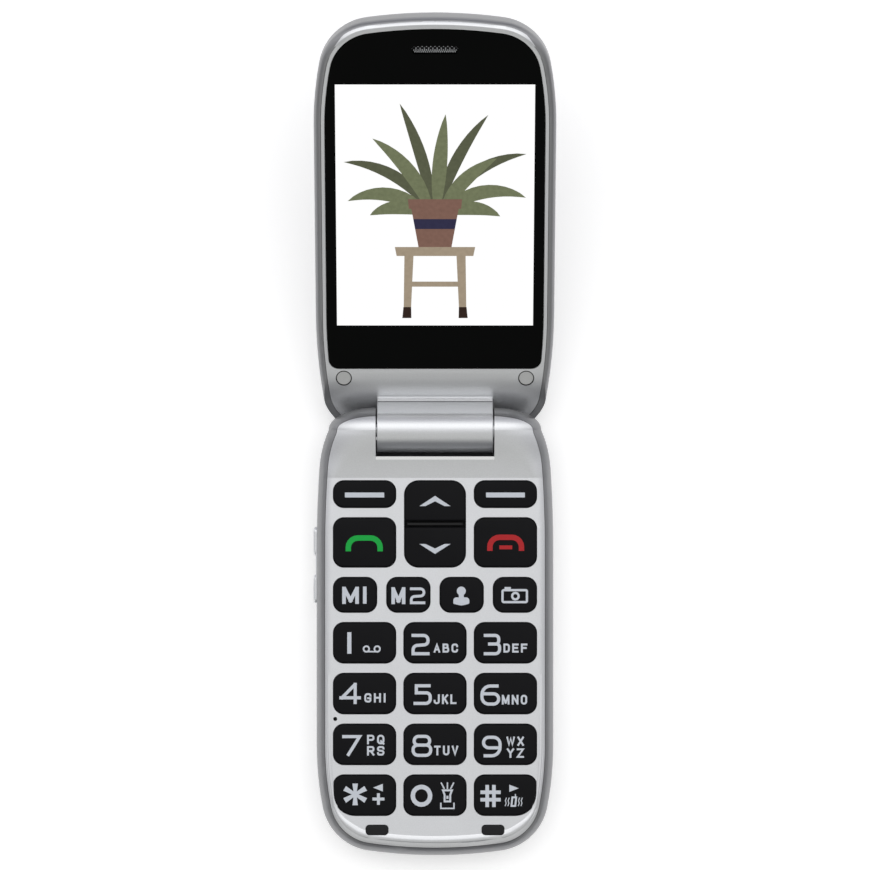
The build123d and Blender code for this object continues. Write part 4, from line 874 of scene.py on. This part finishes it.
levels = [(-BARREL_HALF + BARREL_EDGE * (1 - math.sin(math.pi / 2 * step / 4)),
           BARREL_EDGE * (1 - math.cos(math.pi / 2 * step / 4))) for step in range(4, -1, -1)]
levels += [(-along, inset) for along, inset in levels[::-1]]
sleeve = bmesh.new()
skin(sleeve, [[(along * MM, (at.x - away.x * inset) * MM, (at.y - away.y * inset) * MM)
               for at, away in turned] for along, inset in levels])
barrel = piece("barrel_sleeve", sleeve, silver_paint, 40)
barrel.matrix_world = lid_place
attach(barrel, "lid")
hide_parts("hinge_barrel")


def fairing_strip(name, start, end, finish):
    """A strip across the fairing, from and to these distances up its face."""
    foot, up, away = Vector(FAIRING_FOOT), Vector((-0.215, 0.9766)), Vector((0.9766, 0.215))
    section = [foot + up * along + away * proud for along, proud in (
        (start, -STRIP_UNDER), (end, -STRIP_UNDER), (end, STRIP_OVER), (start, STRIP_OVER))]
    made = bmesh.new()
    bar_of(made, section, BARREL_HALF - 0.1)
    strip = piece(name, made, finish)
    strip.matrix_world = lid_place
    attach(strip, "lid")


# The bright strip is a painted highlight on the lip; the grey strip above it is painted shade in
# the seam.
fairing_strip("fairing_highlight_strip", 0.08, 0.68, painted_highlight_silver)
fairing_strip("fairing_seam_shade", 0.8, 1.25, grey_paint)

# ---- camera and torch on the back of the lid
# A dark polished lens with a deep coating, and beside it a small frosted light.
coated = Finish(bpy.data.materials.new("clear_lens"))
bloom = coated.grain(2 * MM, 2.0)
dress("camera_lens", coated.surface(coated.node("ShaderNodeBsdfPrincipled", {}, {
    "Base Color": coated.mix(bloom, (0.006, 0.006, 0.012), (0.014, 0.012, 0.03)),
    "Roughness": (bloom - 0.5) * 0.02 + 0.04, "Specular IOR Level": 0.2})))
frosted = Finish(bpy.data.materials.new("torch_diffuser"))
haze = frosted.grain(0.3 * MM, 2.0)
dress("torch_light", frosted.surface(frosted.node("ShaderNodeBsdfPrincipled", {}, {
    "Base Color": frosted.mix(haze, (0.74, 0.74, 0.66), (0.84, 0.84, 0.78)),
    "Roughness": (haze - 0.5) * 0.1 + 0.4, "Normal": frosted.bump(haze, 0.02 * MM, 0.4)})))


# ---- parts inside both halves
# What shows with the battery cover off, or through gaps: wrapped battery, green board with its
# metal cans, gold contacts, black moulded holders, amber film and steel hinge parts.
def plain_finish(name, low, high, size, roughness, metallic=0.0, depth=0.01):
    finish = Finish(bpy.data.materials.new(name))
    tone = finish.grain(size * MM, 3.0)
    return finish.surface(finish.node("ShaderNodeBsdfPrincipled", {}, {
        "Base Color": finish.mix(tone, low, high), "Metallic": metallic,
        "Roughness": (tone - 0.5) * 0.12 + roughness,
        "Normal": finish.bump(tone, depth * MM, 0.25)}))


inner_finishes = (
    (plain_finish("battery_wrap", (0.10, 0.10, 0.11), (0.14, 0.14, 0.15), 0.5, 0.45), ("battery",)),
    (plain_finish("circuit_board", (0.018, 0.10, 0.045), (0.03, 0.15, 0.065), 1.2, 0.4),
     ("main_board", "lid_board", "dome_sheet")),
    (plain_finish("contact_metal", (0.60, 0.42, 0.16), (0.74, 0.55, 0.24), 0.4, 0.28, 1.0),
     ("battery_contacts",)),
    (plain_finish("black_plastic", (0.012, 0.012, 0.013), (0.022, 0.022, 0.023), 0.25, 0.5),
     ("loudspeaker", "card_holder", "antenna", "earpiece", "camera_module", "microphone",
      "volume_switches", "hinge_cartridge")),
    (plain_finish("flex_film", (0.46, 0.20, 0.035), (0.58, 0.28, 0.06), 1.5, 0.3),
     ("hinge_flex",)),
)
for finish, nodes in inner_finishes:
    for node in nodes:
        dress(node, finish)
for node in ("shield_can", "charging_socket", "casing_screws", "lid_screws", "hinge_cam",
             "hinge_pin", "lid_magnet", "vibration_motor"):
    dress(node, steel_sheet)
